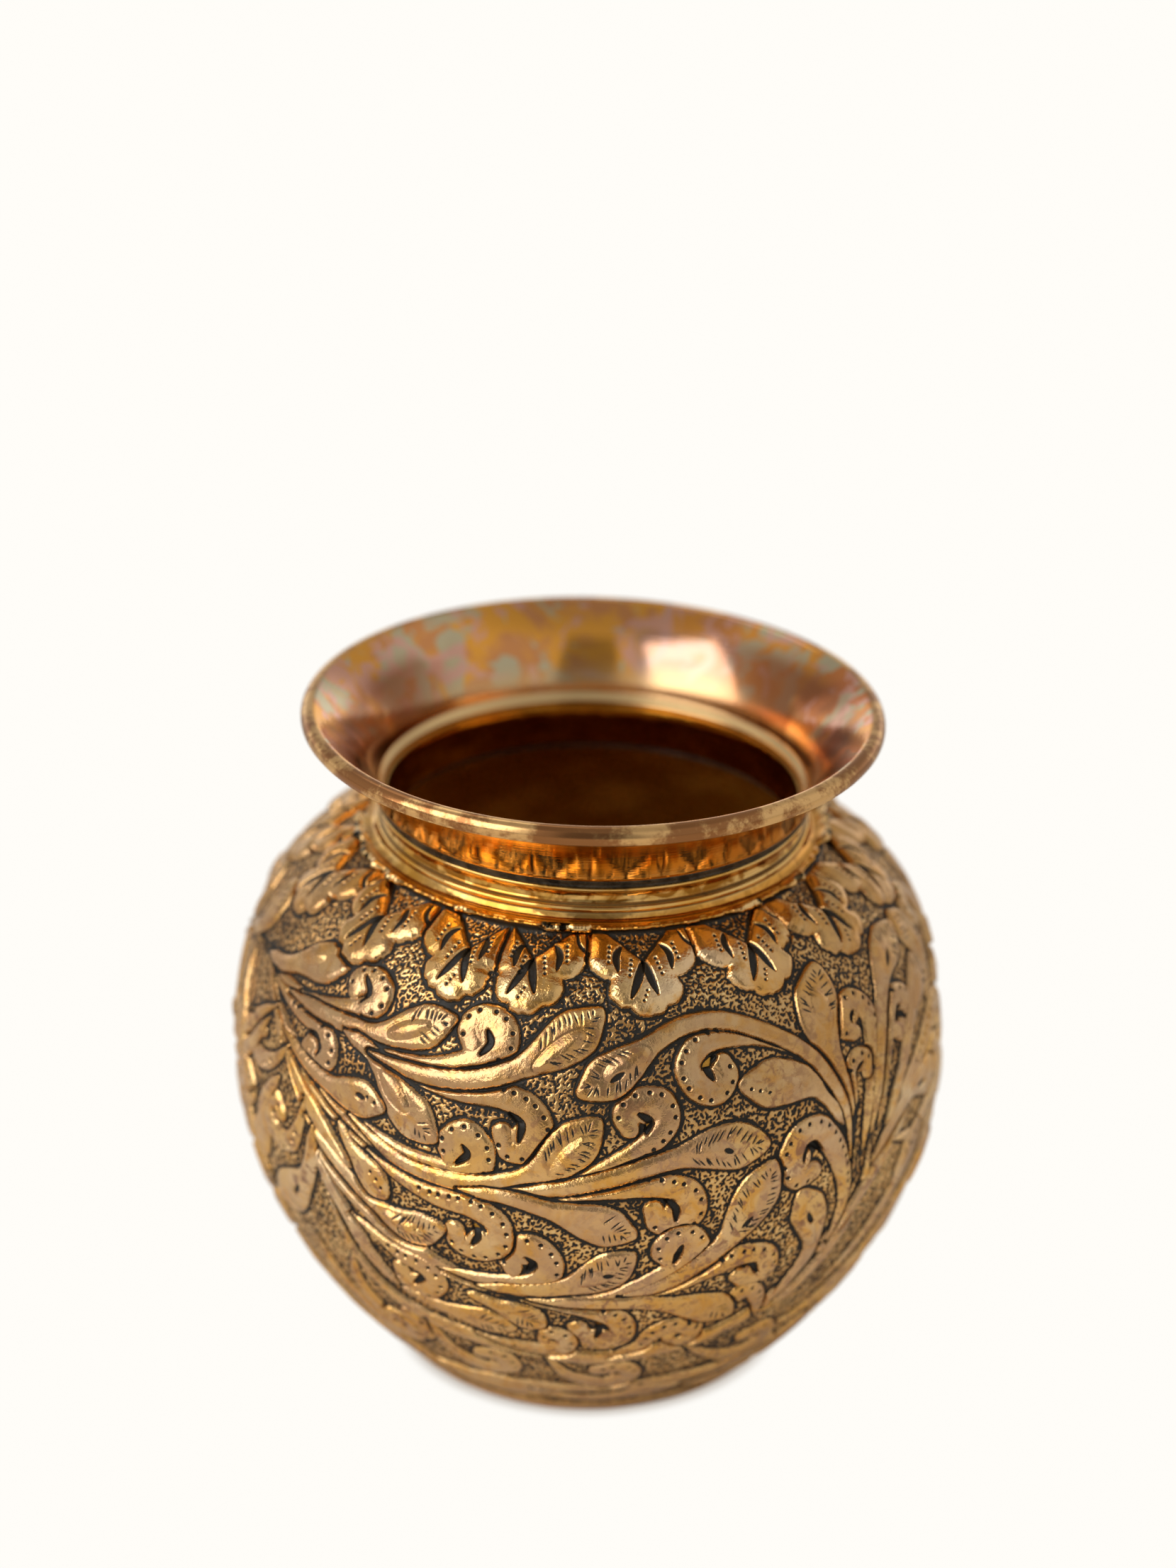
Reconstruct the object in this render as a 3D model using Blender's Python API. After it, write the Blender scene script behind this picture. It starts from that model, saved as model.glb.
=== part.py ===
"""Brass kalash pot, as separate turned and raised pieces.

Every piece is a solid of revolution about the pot's upright axis. The frame's origin is the middle
of the flat underside, +Z is up, and all sizes are in metres.
"""
import math

import bmesh
import bpy
from mathutils import Matrix, Vector

MM = 0.001
SEGMENTS = 48  # facets round the pot; every piece shares them, so that the gaps stay even
GAP = 0.30 * MM  # clearance between neighbouring pieces

# Body: one smooth curve up from the base to the belly and one over the shoulder to the collar
WALL = 1.30 * MM
BELLY_RADIUS = 55.0 * MM
BELLY_Z = 50.0 * MM
BASE_RADIUS = 30.0 * MM
BASE_FLARE_ANGLE = math.radians(45.0)
BASE_FLARE_REACH = 10.0 * MM
BELLY_REACH_DOWN = 24.0 * MM
BELLY_REACH_UP = 22.0 * MM
SHOULDER_RADIUS = 34.8 * MM
SHOULDER_Z = 86.0 * MM
SHOULDER_SLOPE = math.radians(18.0)
SHOULDER_REACH = 12.9 * MM
CURVE_STEPS = 8

# Base disc, soldered into the opening of the bowl
BASE_THICKNESS = 1.60 * MM
BASE_DISC_RADIUS = 27.4 * MM
BASE_SOLDER_RADIUS = 28.4 * MM

# Braze band along the inside of the belly seam
SEAM_HALF_HEIGHT = 2.5 * MM
SEAM_THICKNESS = 0.8 * MM

# Collar: two beads with a cove between them, then a flange that lies on the shoulder
COLLAR_TOP_Z = 91.5 * MM
COLLAR_BORE = 30.8 * MM
FLANGE_OVERLAP = 0.5 * MM
FLANGE_THICKNESS = 0.4 * MM
COLLAR_SOLDER_RADIUS = 31.6 * MM

# Neck and flared mouth, spun from one sheet
NECK_BOTTOM_Z = 93.5 * MM
NECK_RADIUS = 33.4 * MM
THROAT_RADIUS = 31.6 * MM
THROAT_Z = 92.9 * MM
SPIGOT_RADIUS = 32.2 * MM
SPIGOT_Z = 92.6 * MM
MOUTH_RADIUS = 42.5 * MM
LIP_Z = 104.9 * MM
LIP_BEAD = 1.50 * MM
LIP_SHEET = 0.65 * MM
LIP_WIRE = 0.55 * MM

BRASS = (0.72, 0.46, 0.18, 1.0)
AGED_BRASS = (0.55, 0.34, 0.13, 1.0)
DARK_SOLDER = (0.09, 0.09, 0.09, 1.0)
STEEL = (0.35, 0.33, 0.31, 1.0)


def bezier(start, handle_1, handle_2, end, steps):
    """Points along a cubic curve, both ends included."""
    points = []
    for i in range(steps + 1):
        t = i / steps
        point = (
            start * (1 - t) ** 3
            + handle_1 * 3 * t * (1 - t) ** 2
            + handle_2 * 3 * t**2 * (1 - t)
            + end * t**3
        )
        points.append(point)
    return points


def arc(centre, radius, start_deg, end_deg, steps):
    """Points along an arc about a centre in the profile's plane, both ends included."""
    points = []
    for i in range(steps + 1):
        angle = math.radians(start_deg + (end_deg - start_deg) * i / steps)
        points.append(centre + Vector((math.cos(angle), math.sin(angle))) * radius)
    return points


def inset(points, distance):
    """An open profile moved sideways, to the left of its direction of travel."""
    moved = []
    for i, point in enumerate(points):
        before = points[max(i - 1, 0)]
        after = points[min(i + 1, len(points) - 1)]
        along = (after - before).normalized()
        moved.append(point + Vector((-along.y, along.x)) * distance)
    return moved


def bowl_curve():
    """The bowl's outer profile, from the base up to the belly."""
    start = Vector((BASE_RADIUS, 0.0))
    flare = Vector((math.cos(BASE_FLARE_ANGLE), math.sin(BASE_FLARE_ANGLE))) * BASE_FLARE_REACH
    end = Vector((BELLY_RADIUS, BELLY_Z - GAP / 2))
    return bezier(start, start + flare, end - Vector((0.0, BELLY_REACH_DOWN)), end, CURVE_STEPS)


def shoulder_curve():
    """The shoulder's outer profile, from the belly up to the collar's flange."""
    start = Vector((BELLY_RADIUS, BELLY_Z + GAP / 2))
    end = Vector((SHOULDER_RADIUS, SHOULDER_Z))
    slope = Vector((math.cos(SHOULDER_SLOPE), -math.sin(SHOULDER_SLOPE))) * SHOULDER_REACH
    return bezier(start, start + Vector((0.0, BELLY_REACH_UP)), end + slope, end, CURVE_STEPS)


def brass_material(name, color, roughness, metallic=1.0):
    material = bpy.data.materials.new(name)
    material.use_nodes = True
    surface = material.node_tree.nodes["Principled BSDF"]
    surface.inputs["Base Color"].default_value = color
    surface.inputs["Roughness"].default_value = roughness
    surface.inputs["Metallic"].default_value = metallic
    material.diffuse_color = color
    return material


def turned(name, profile, material, parent):
    """Spin a closed profile of (radius, height) points about the pot's axis."""
    bm = bmesh.new()
    verts = [bm.verts.new((point[0], 0.0, point[1])) for point in profile]
    edges = [bm.edges.new((verts[i], verts[i - 1])) for i in range(len(verts))]
    bmesh.ops.spin(
        bm,
        geom=verts + edges,
        axis=(0.0, 0.0, 1.0),
        cent=(0.0, 0.0, 0.0),
        steps=SEGMENTS,
        angle=2.0 * math.pi,
        use_merge=True,
        use_duplicate=False,
    )
    bmesh.ops.remove_doubles(bm, verts=bm.verts, dist=0.001 * MM)
    bmesh.ops.recalc_face_normals(bm, faces=bm.faces)
    mesh = bpy.data.meshes.new(name)
    bm.to_mesh(mesh)
    bm.free()
    mesh.shade_smooth()
    mesh.set_sharp_from_angle(angle=math.radians(40.0))
    mesh.materials.append(material)
    piece = bpy.data.objects.new(name, mesh)
    piece.parent = parent
    bpy.context.scene.collection.objects.link(piece)
    return piece


def build_base_disc(parent):
    """Flat round bottom: the face that the pot stands on."""
    bm = bmesh.new()
    bmesh.ops.create_cone(
        bm,
        cap_ends=True,
        segments=SEGMENTS,
        radius1=BASE_DISC_RADIUS,
        radius2=BASE_DISC_RADIUS,
        depth=BASE_THICKNESS,
        matrix=Matrix.Translation((0.0, 0.0, BASE_THICKNESS / 2)),
    )
    mesh = bpy.data.meshes.new("base_disc")
    bm.to_mesh(mesh)
    bm.free()
    mesh.shade_smooth()
    mesh.set_sharp_from_angle(angle=math.radians(40.0))
    mesh.materials.append(brass_material("base_brass", AGED_BRASS, 0.45))
    piece = bpy.data.objects.new("base_disc", mesh)
    piece.parent = parent
    bpy.context.scene.collection.objects.link(piece)


def build_base_solder_ring(parent):
    """Solder between the base disc's rim and the bowl, standing as a small fillet inside."""
    inner = BASE_DISC_RADIUS + GAP
    rise = 0.4 * MM
    profile = [
        Vector((inner, rise)),
        Vector((BASE_SOLDER_RADIUS, rise)),
        Vector((BASE_SOLDER_RADIUS, BASE_THICKNESS)),
        Vector((inner, BASE_THICKNESS)),
    ]
    turned("base_solder_ring", profile, brass_material("base_solder", DARK_SOLDER, 0.5), parent)


def build_bowl_shell(parent):
    """Lower half of the body, raised from sheet, open at its foot for the base disc."""
    outer = bowl_curve()
    inner = inset(outer, WALL)
    foot = BASE_SOLDER_RADIUS + GAP
    inner[0] = Vector((foot, 0.0))
    inner.insert(1, Vector((foot, BASE_THICKNESS)))
    inner[-1] = Vector((BELLY_RADIUS - WALL, outer[-1].y))
    profile = outer + inner[::-1]
    turned("bowl_shell", profile, brass_material("bowl_brass", BRASS, 0.32), parent)


def build_girth_seam_ring(parent):
    """Braze band on the inside, across the joint between bowl and shoulder."""
    outer = BELLY_RADIUS - WALL - GAP - 0.15 * MM
    inner = outer - SEAM_THICKNESS
    slack = 0.3 * MM
    profile = [
        Vector((inner, BELLY_Z - SEAM_HALF_HEIGHT + slack)),
        Vector((outer, BELLY_Z - SEAM_HALF_HEIGHT)),
        Vector((outer, BELLY_Z + SEAM_HALF_HEIGHT)),
        Vector((inner, BELLY_Z + SEAM_HALF_HEIGHT - slack)),
    ]
    turned("girth_seam_ring", profile, brass_material("seam_braze", AGED_BRASS, 0.5), parent)


def build_shoulder_shell(parent):
    """Upper half of the body, raised from sheet, closing in to the collar."""
    outer = shoulder_curve()
    inner = inset(outer, WALL)
    inner[0] = Vector((BELLY_RADIUS - WALL, outer[0].y))
    inner[-1] = Vector((SHOULDER_RADIUS, SHOULDER_Z - WALL))
    profile = outer + inner[::-1]
    turned("shoulder_shell", profile, brass_material("shoulder_brass", BRASS, 0.30), parent)


def build_collar_solder_ring(parent):
    """Solder in the corner between the collar's foot and the shoulder's mouth."""
    inner = COLLAR_SOLDER_RADIUS
    outer = SHOULDER_RADIUS - GAP
    top = SHOULDER_Z
    bottom = SHOULDER_Z - WALL + GAP
    profile = [
        Vector((inner, bottom)),
        Vector((outer, bottom)),
        Vector((outer, top)),
        Vector((inner, top)),
    ]
    material = brass_material("collar_solder", DARK_SOLDER, 0.5)
    turned("collar_solder_ring", profile, material, parent)


def build_neck_collar(parent):
    """Turned collar: a bead, a cove, a second bead, and a flange that lies on the shoulder."""
    foot = SHOULDER_Z + GAP
    flange_edge = SHOULDER_RADIUS + FLANGE_OVERLAP
    upper_bead = Vector((32.6 * MM, 90.9 * MM))
    lower_bead = Vector((31.9 * MM, 88.0 * MM))
    profile = [
        Vector((COLLAR_BORE, foot)),
        Vector((flange_edge, foot)),
        Vector((flange_edge - 0.3 * MM, foot + FLANGE_THICKNESS)),
        Vector((32.3 * MM, 87.1 * MM)),
    ]
    profile += arc(lower_bead, 0.6 * MM, -40.0, 40.0, 2)
    profile.append(Vector((31.9 * MM, 89.3 * MM)))
    profile += arc(upper_bead, 0.6 * MM, -60.0, 60.0, 2)
    profile.append(Vector((32.5 * MM, COLLAR_TOP_Z)))
    profile.append(Vector((COLLAR_BORE, COLLAR_TOP_Z)))
    turned("neck_collar", profile, brass_material("collar_brass", BRASS, 0.18), parent)


def build_neck_solder_ring(parent):
    """The dark line round the neck: solder between the collar and the spun mouth."""
    bore = THROAT_RADIUS - 0.4 * MM
    bottom = COLLAR_TOP_Z + GAP
    floor_top = SPIGOT_Z - GAP
    wall_top = NECK_BOTTOM_Z - GAP
    profile = [
        Vector((bore, bottom)),
        Vector((NECK_RADIUS - 0.5 * MM, bottom)),
        Vector((NECK_RADIUS - 0.1 * MM, wall_top)),
        Vector((SPIGOT_RADIUS + GAP, wall_top)),
        Vector((SPIGOT_RADIUS + GAP, floor_top)),
        Vector((bore, floor_top)),
    ]
    turned("neck_solder_ring", profile, brass_material("neck_solder", DARK_SOLDER, 0.35), parent)


def build_mouth_funnel(parent):
    """Neck and trumpet mouth from one spun sheet, its edge rolled outward round the lip wire."""
    lip = Vector((MOUTH_RADIUS, LIP_Z))
    throat_top = Vector((THROAT_RADIUS + 0.9 * MM, THROAT_Z + 2.2 * MM))
    roll_start = 128.0
    outer_roll = arc(lip, LIP_BEAD, roll_start, -150.0, 11)
    inner_roll = arc(lip, LIP_BEAD - LIP_SHEET, -150.0, roll_start, 9)
    bell_top = outer_roll[0]
    bell = bezier(
        throat_top,
        throat_top + Vector((0.3 * MM, 5.0 * MM)),
        bell_top + Vector((-4.0 * MM, -3.4 * MM)),
        bell_top,
        6,
    )
    underside = bezier(
        inner_roll[-1] + Vector((-0.6 * MM, -0.5 * MM)),
        inner_roll[-1] + Vector((-4.6 * MM, -4.0 * MM)),
        Vector((NECK_RADIUS, NECK_BOTTOM_Z + 6.0 * MM)),
        Vector((NECK_RADIUS, NECK_BOTTOM_Z)),
        5,
    )
    profile = [
        Vector((THROAT_RADIUS + 0.1 * MM, SPIGOT_Z)),
        Vector((THROAT_RADIUS, THROAT_Z)),
        Vector((THROAT_RADIUS + 0.1 * MM, THROAT_Z + 1.2 * MM)),
    ]
    profile += bell
    profile += outer_roll[1:]
    profile += inner_roll
    profile += underside
    profile.append(Vector((SPIGOT_RADIUS, NECK_BOTTOM_Z)))
    profile.append(Vector((SPIGOT_RADIUS, SPIGOT_Z)))
    turned("mouth_funnel", profile, brass_material("mouth_brass", BRASS, 0.12), parent)


def build_lip_wire(parent):
    """Stiffening wire that the mouth's edge is rolled over."""
    profile = arc(Vector((MOUTH_RADIUS, LIP_Z)), LIP_WIRE, 0.0, 300.0, 5)
    turned("lip_wire", profile, brass_material("lip_wire_steel", STEEL, 0.5), parent)


def clear_scene():
    for old in list(bpy.data.objects):
        bpy.data.objects.remove(old, do_unlink=True)


def build_pot():
    pot = bpy.data.objects.new("kalash_frame", None)
    bpy.context.scene.collection.objects.link(pot)
    build_base_disc(pot)
    build_base_solder_ring(pot)
    build_bowl_shell(pot)
    build_girth_seam_ring(pot)
    build_shoulder_shell(pot)
    build_collar_solder_ring(pot)
    build_neck_collar(pot)
    build_neck_solder_ring(pot)
    build_mouth_funnel(pot)
    build_lip_wire(pot)


clear_scene()
build_pot()
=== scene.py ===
"""Looks for the brass kalash pot: chased vine and petal relief, spun mouth, turned collar and patina.

Lengths in the design tables are millimetres and angles are degrees. The angle runs round the pot
from the front (-Y) towards +X, and "run" is the distance up the body's outer profile from its foot.
"""
import math

import bpy
import numpy as np
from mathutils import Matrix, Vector


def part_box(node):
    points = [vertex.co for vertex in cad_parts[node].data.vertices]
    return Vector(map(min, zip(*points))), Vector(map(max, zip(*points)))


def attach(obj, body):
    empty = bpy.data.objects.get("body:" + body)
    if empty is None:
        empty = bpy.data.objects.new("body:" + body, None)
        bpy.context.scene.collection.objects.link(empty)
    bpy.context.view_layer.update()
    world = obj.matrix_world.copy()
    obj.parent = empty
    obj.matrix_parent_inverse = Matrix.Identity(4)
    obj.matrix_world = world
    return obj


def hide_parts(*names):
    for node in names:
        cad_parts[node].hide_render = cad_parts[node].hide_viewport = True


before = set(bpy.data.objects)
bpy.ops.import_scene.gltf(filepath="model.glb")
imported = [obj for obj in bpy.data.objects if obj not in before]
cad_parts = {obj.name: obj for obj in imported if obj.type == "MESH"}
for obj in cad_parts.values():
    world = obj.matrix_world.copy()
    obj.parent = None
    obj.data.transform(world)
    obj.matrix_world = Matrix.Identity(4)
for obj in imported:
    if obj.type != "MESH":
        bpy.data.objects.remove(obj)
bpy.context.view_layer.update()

MM = 0.001
BODY = "root"


def box_mm(node):
    """A CAD node's lowest and highest corners, in mm."""
    return [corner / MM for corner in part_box(node)]


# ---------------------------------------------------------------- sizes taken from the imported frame
bowl_high = box_mm("bowl_shell")[1]
shoulder_low, shoulder_high = box_mm("shoulder_shell")
disc_high = box_mm("base_disc")[1]
solder_high = box_mm("base_solder_ring")[1]
collar_high = box_mm("neck_collar")[1]
neck_high = box_mm("neck_solder_ring")[1]
mouth_low, mouth_high = box_mm("mouth_funnel")
seam_low, seam_high = box_mm("girth_seam_ring")
fillet_low, fillet_high = box_mm("collar_solder_ring")

BELLY_R = bowl_high.x
BELLY_Z = (bowl_high.z + shoulder_low.z) / 2
SHOULDER_Z = shoulder_high.z
LIP_BEAD = 1.5
LIP_R = mouth_high.x - LIP_BEAD
LIP_Z = mouth_high.z - LIP_BEAD
FOOT_R = 30.0
COLLAR_R = 34.8
WALL = 1.3

# The relief is laid out on one fine grid: rows run up the profile and columns run round the pot.
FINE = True
COLUMNS = 2048 if FINE else 1024
ROW_STEP = 0.19 if FINE else 0.34


def cubic(start, handle_1, handle_2, end, steps):
    """Points along a Bezier curve."""
    t = np.linspace(0, 1, steps)[:, None]
    a, b, c, d = (np.array(p, float) for p in (start, handle_1, handle_2, end))
    return a * (1 - t) ** 3 + b * 3 * t * (1 - t) ** 2 + c * 3 * t**2 * (1 - t) + d * t**3


# How far each end of the body's two curves runs straight before it bends, and the shoulder's slope
FOOT_PULL = 10
BELLY_PULL_DOWN = 24
BELLY_PULL_UP = 22
SHOULDER_PULL = 12.9
SHOULDER_SLOPE = 18
PROFILE_STEPS = 400


def body_profile():
    """The body's outer profile as (radius, z), from the foot to the collar."""
    flare = FOOT_PULL * math.sqrt(0.5)
    foot, belly, mouth = (FOOT_R, 0), (BELLY_R, BELLY_Z), (COLLAR_R, SHOULDER_Z)
    lower = cubic(foot, (FOOT_R + flare, flare), (BELLY_R, BELLY_Z - BELLY_PULL_DOWN), belly, PROFILE_STEPS)
    slope = math.radians(SHOULDER_SLOPE)
    top = (COLLAR_R + SHOULDER_PULL * math.cos(slope), SHOULDER_Z - SHOULDER_PULL * math.sin(slope))
    upper = cubic(belly, (BELLY_R, BELLY_Z + BELLY_PULL_UP), top, mouth, PROFILE_STEPS)
    return np.vstack([lower, upper[1:]])


profile = body_profile()
profile_run = np.concatenate([[0], np.cumsum(np.hypot(*np.diff(profile, axis=0).T))])
RUN_END = profile_run[-1]
RUN_GIRTH = profile_run[PROFILE_STEPS - 1]

rows_below = round(RUN_GIRTH / ROW_STEP)
rows_above = round((RUN_END - RUN_GIRTH) / ROW_STEP)
row_run = np.concatenate([
    np.linspace(0, RUN_GIRTH, rows_below + 1),
    np.linspace(RUN_GIRTH, RUN_END, rows_above + 1)[1:],
])
ROWS = len(row_run)
row_radius = np.interp(row_run, profile_run, profile[:, 0])
row_z = np.interp(row_run, profile_run, profile[:, 1])
column_angle = np.arange(COLUMNS) * 360.0 / COLUMNS
mm_per_degree = row_radius * math.pi / 180

height = np.zeros((ROWS, COLUMNS), np.float32)  # relief, in mm out from the profile
patina = np.zeros((ROWS, COLUMNS), np.float32)  # black left in the recesses, 0 to 1
raised = np.zeros((ROWS, COLUMNS), np.float32)  # 1 on the ornament, 0 on the matted ground


def scale_at(run):
    """Millimetres in one degree, at this run."""
    return np.interp(run, row_run, mm_per_degree)


def smooth(x):
    """An eased step from 0 to 1 as x goes from 0 to 1."""
    x = np.clip(x, 0, 1)
    return x * x * (3 - 2 * x)


def spline(points, steps):
    """A smooth curve through the points, with this many steps in each stretch between two of them."""
    p = np.array(points, float)
    ends = np.vstack([2 * p[0] - p[1], p, 2 * p[-1] - p[-2]])
    t = np.linspace(0, 1, steps, endpoint=False)[:, None]
    stretches = []
    for a, b, c, d in zip(ends, ends[1:], ends[2:], ends[3:]):
        bend = (2 * a - 5 * b + 4 * c - d) * t**2 + (3 * b - a - 3 * c + d) * t**3
        stretches.append(0.5 * (2 * b + (c - a) * t + bend))
    return np.vstack(stretches + [p[-1:]])


MEAN_R = 48  # the body's usual radius, which sets how many grains of noise go round it


def cloud(size, seed, rows=None):
    """Smooth noise from -1 to 1 over the grid, seamless round the pot; size is its grain in mm."""
    rows = row_run if rows is None else rows
    around = max(4, round(2 * math.pi * MEAN_R / size))
    up = int(RUN_END / size) + 3
    knots = np.random.default_rng(seed).uniform(-1, 1, (up, around))
    y, x = rows / size, column_angle / 360 * around
    y0, x0 = np.floor(y).astype(int), np.floor(x).astype(int)
    fy, fx = smooth(y - y0)[:, None], smooth(x - x0)[None, :]
    y1, x1 = y0 + 1, (x0 + 1) % around
    x0 = x0 % around
    low = knots[np.ix_(y0, x0)] * (1 - fx) + knots[np.ix_(y0, x1)] * fx
    high = knots[np.ix_(y1, x0)] * (1 - fx) + knots[np.ix_(y1, x1)] * fx
    return (low * (1 - fy) + high * fy).astype(np.float32)


# ---------------------------------------------------------------- matted ground
GROUND = -0.50  # height of the beaten ground, mm out from the profile
FACE = -0.30  # where a raised shape starts, before its rounding is added
PITS_AROUND = 560
PIT_ROW = 0.60  # mm between rows of pits
PIT_HALF_LONG = 0.32
PIT_HALF_WIDE = 0.165
PIT_DEPTH = 0.15
FAR = 9.0  # mm, past anything a shape reaches


def matted_ground():
    """The punched ground: short pits at all angles, with gold ridges between them."""
    up = int(RUN_END / PIT_ROW) + 3
    draw = np.random.default_rng(11)
    shift_x, shift_y, turn, size = (draw.uniform(0, 1, (up, PITS_AROUND)) for _ in range(4))
    u = (column_angle / 360 * PITS_AROUND)[None, :]
    v = (row_run / PIT_ROW)[:, None]
    iu, iv = np.floor(u).astype(int), np.floor(v).astype(int)
    width = (mm_per_degree * 360 / PITS_AROUND)[:, None]
    nearest = np.full((ROWS, COLUMNS), FAR)
    for du in (-1, 0, 1):
        for dv in (-1, 0, 1):
            a = (iu + du) % PITS_AROUND
            b = np.clip(iv + dv, 0, up - 1)
            dx = (u - (iu + du + shift_x[b, a])) * width
            dy = (v - (iv + dv + shift_y[b, a])) * PIT_ROW
            angle = turn[b, a] * math.pi
            along = dx * np.cos(angle) + dy * np.sin(angle)
            across = dy * np.cos(angle) - dx * np.sin(angle)
            spread = 0.70 + 0.65 * size[b, a]
            away = np.hypot(along / PIT_HALF_LONG, across / PIT_HALF_WIDE) / spread
            nearest = np.minimum(nearest, away)
    pit = smooth(1.45 - nearest)
    height[:] = GROUND - PIT_DEPTH * pit + 0.07 * cloud(2.2, 3)
    patina[:] = np.clip(0.12 + 0.92 * pit + 0.20 * cloud(5.0, 4) + 0.12 * cloud(1.6, 5), 0, 1)


# ---------------------------------------------------------------- drawing tools
LINE = 0.54  # width of the chased outline
THIN_LINE = 0.42
GROOVE_DEPTH = 0.16  # how far a chased line goes below the ground
SHAPE_MARGIN = 0.9  # how far past its edge a shape touches the grid
line_wobble = cloud(2.6, 21) * 0.5 + cloud(7.0, 22) * 0.45 + cloud(1.1, 23) * 0.35


def curve_through(points, step=0.35):
    """A smooth curve through (angle, run) points, sampled evenly, with its tangents in mm."""
    p = np.array(points, float)
    if len(p) == 2:
        p = np.array([p[0], (p[0] + p[1]) / 2, p[1]])
    q = spline(p, 14)
    step_mm = np.diff(q, axis=0)
    step_mm[:, 0] *= scale_at((q[1:, 1] + q[:-1, 1]) / 2)
    length = np.concatenate([[0], np.cumsum(np.hypot(*step_mm.T))])
    count = max(3, int(length[-1] / step) + 1)
    at = np.linspace(0, length[-1], count)
    path = np.column_stack([np.interp(at, length, q[:, 0]), np.interp(at, length, q[:, 1])])
    tangent = np.gradient(path, axis=0)
    tangent[:, 0] *= scale_at(path[:, 1])
    tangent /= np.maximum(np.hypot(*tangent.T), 1e-9)[:, None]
    return path, tangent, at


def window(low_angle, high_angle, low_run, high_run, margin):
    """The part of the grid round a shape: row slice, column numbers and its angles and runs."""
    low_row = max(0, int(np.searchsorted(row_run, low_run - margin)) - 1)
    high_row = min(ROWS, int(np.searchsorted(row_run, high_run + margin)) + 1)
    reach = margin / max(mm_per_degree[low_row:high_row].min(), 0.4)
    first = math.floor((low_angle - reach) / 360 * COLUMNS)
    last = math.ceil((high_angle + reach) / 360 * COLUMNS)
    wide = np.arange(first, last + 1)
    return np.arange(low_row, high_row), wide % COLUMNS, wide * 360.0 / COLUMNS


def ribbon_field(path, tangent, half_width, margin):
    """For each grid point near a ribbon: distance outside its edge, nearest sample and side."""
    rows, columns, angles = window(
        path[:, 0].min(), path[:, 0].max(), path[:, 1].min(), path[:, 1].max(),
        margin + half_width.max(),
    )
    px, py, w = (a.astype(np.float32) for a in (path[:, 0], path[:, 1], half_width))
    most_values = 3e6  # worked on at once, to save memory
    outside = np.empty((len(rows), len(angles)), np.float32)
    nearest = np.empty((len(rows), len(angles)), np.int32)
    side = np.empty((len(rows), len(angles)), np.float32)
    across = np.arange(len(angles))[None, :]
    block = max(1, int(most_values / (len(angles) * len(px))))
    for i in range(0, len(rows), block):
        part = rows[i:i + block]
        dx = (angles[None, :, None] - px) * mm_per_degree[part][:, None, None]
        dy = np.broadcast_to(row_run[part][:, None, None] - py, dx.shape)
        gap = np.sqrt(dx * dx + dy * dy) - w
        k = gap.argmin(2)
        down = np.arange(len(part))[:, None]
        outside[i:i + block] = gap[down, across, k]
        nearest[i:i + block] = k
        turn = tangent[k, 0] * dy[down, across, k] - tangent[k, 1] * dx[down, across, k]
        side[i:i + block] = turn
    return rows, columns, outside, nearest, side


def lay(rows, columns, outside, relief, line=LINE):
    """Lays a raised shape on the grid, with a dark chased line just outside its edge."""
    where = np.ix_(rows, columns)
    outside = outside + 0.13 * line_wobble[where]
    cover = smooth(0.5 - outside / 0.24)
    wide = line * (1.0 + 0.70 * line_wobble[where])
    groove = smooth(1.25 - np.abs(outside - 0.42 * wide) / (0.5 * wide + 0.08)) * (1 - cover)
    cut = height[where] * (1 - groove) + (GROUND - GROOVE_DEPTH) * groove
    height[where] = cut * (1 - cover) + relief * cover
    soot = patina[where] + 0.26 * smooth(1 - outside / 1.2)
    patina[where] = np.maximum(soot * (1 - cover), groove * (0.9 + 0.1 * line_wobble[where]))
    raised[where] = np.maximum(raised[where] * (1 - groove), cover)


def mark(points, half_width, depth, dark, taper=0.75):
    """A tapered cut: a gouge, a hatch stroke or a fine line."""
    path, tangent, at = curve_through(points, 0.2)
    t = at / at[-1]
    w = half_width * (1 - taper + taper * np.sin(math.pi * np.clip(t, 0.02, 0.98)) ** 0.7)
    rows, columns, outside, _, _ = ribbon_field(path, tangent, w, 0.5)
    where = np.ix_(rows, columns)
    cut = smooth(0.55 - outside / 0.26)
    height[where] -= depth * cut
    patina[where] = np.maximum(patina[where], dark * cut)


def dot(angle, run, radius=0.34, depth=0.34):
    """A round punch mark."""
    rows, columns, angles = window(angle, angle, run, run, radius + 0.4)
    dx = (angles[None, :] - angle) * mm_per_degree[rows][:, None]
    dy = row_run[rows][:, None] - run
    hit = smooth(0.5 - (np.hypot(dx, dy) - radius) / 0.26)
    where = np.ix_(rows, columns)
    height[where] -= depth * hit
    patina[where] = np.maximum(patina[where], hit)


def pad(a, b, half_width=1.1, rise=0.42):
    """A smooth boss inside a leaf, from a to b, with a fine line round it."""
    path, tangent, at = curve_through([a, b], 0.25)
    t = at / at[-1]
    w = 1.2 * half_width * (0.35 + 0.65 * np.sin(math.pi * (0.12 + 0.76 * t)))
    rows, columns, outside, _, _ = ribbon_field(path, tangent, w, 0.6)
    where = np.ix_(rows, columns)
    inside = smooth(-outside / (half_width * 1.1) + 0.1)
    edge = smooth(1.3 - np.abs(outside - 0.12) / 0.22)
    height[where] += rise * inside - 0.08 * edge
    patina[where] = np.maximum(patina[where], 0.34 * edge * (0.6 + 0.4 * line_wobble[where]))


def offset_point(path, tangent, k, side):
    """A point beside sample k of a path, side mm to its left."""
    run = path[k, 1] + tangent[k, 0] * side
    angle = path[k, 0] - tangent[k, 1] * side / scale_at(path[k, 1])
    return angle, run


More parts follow.
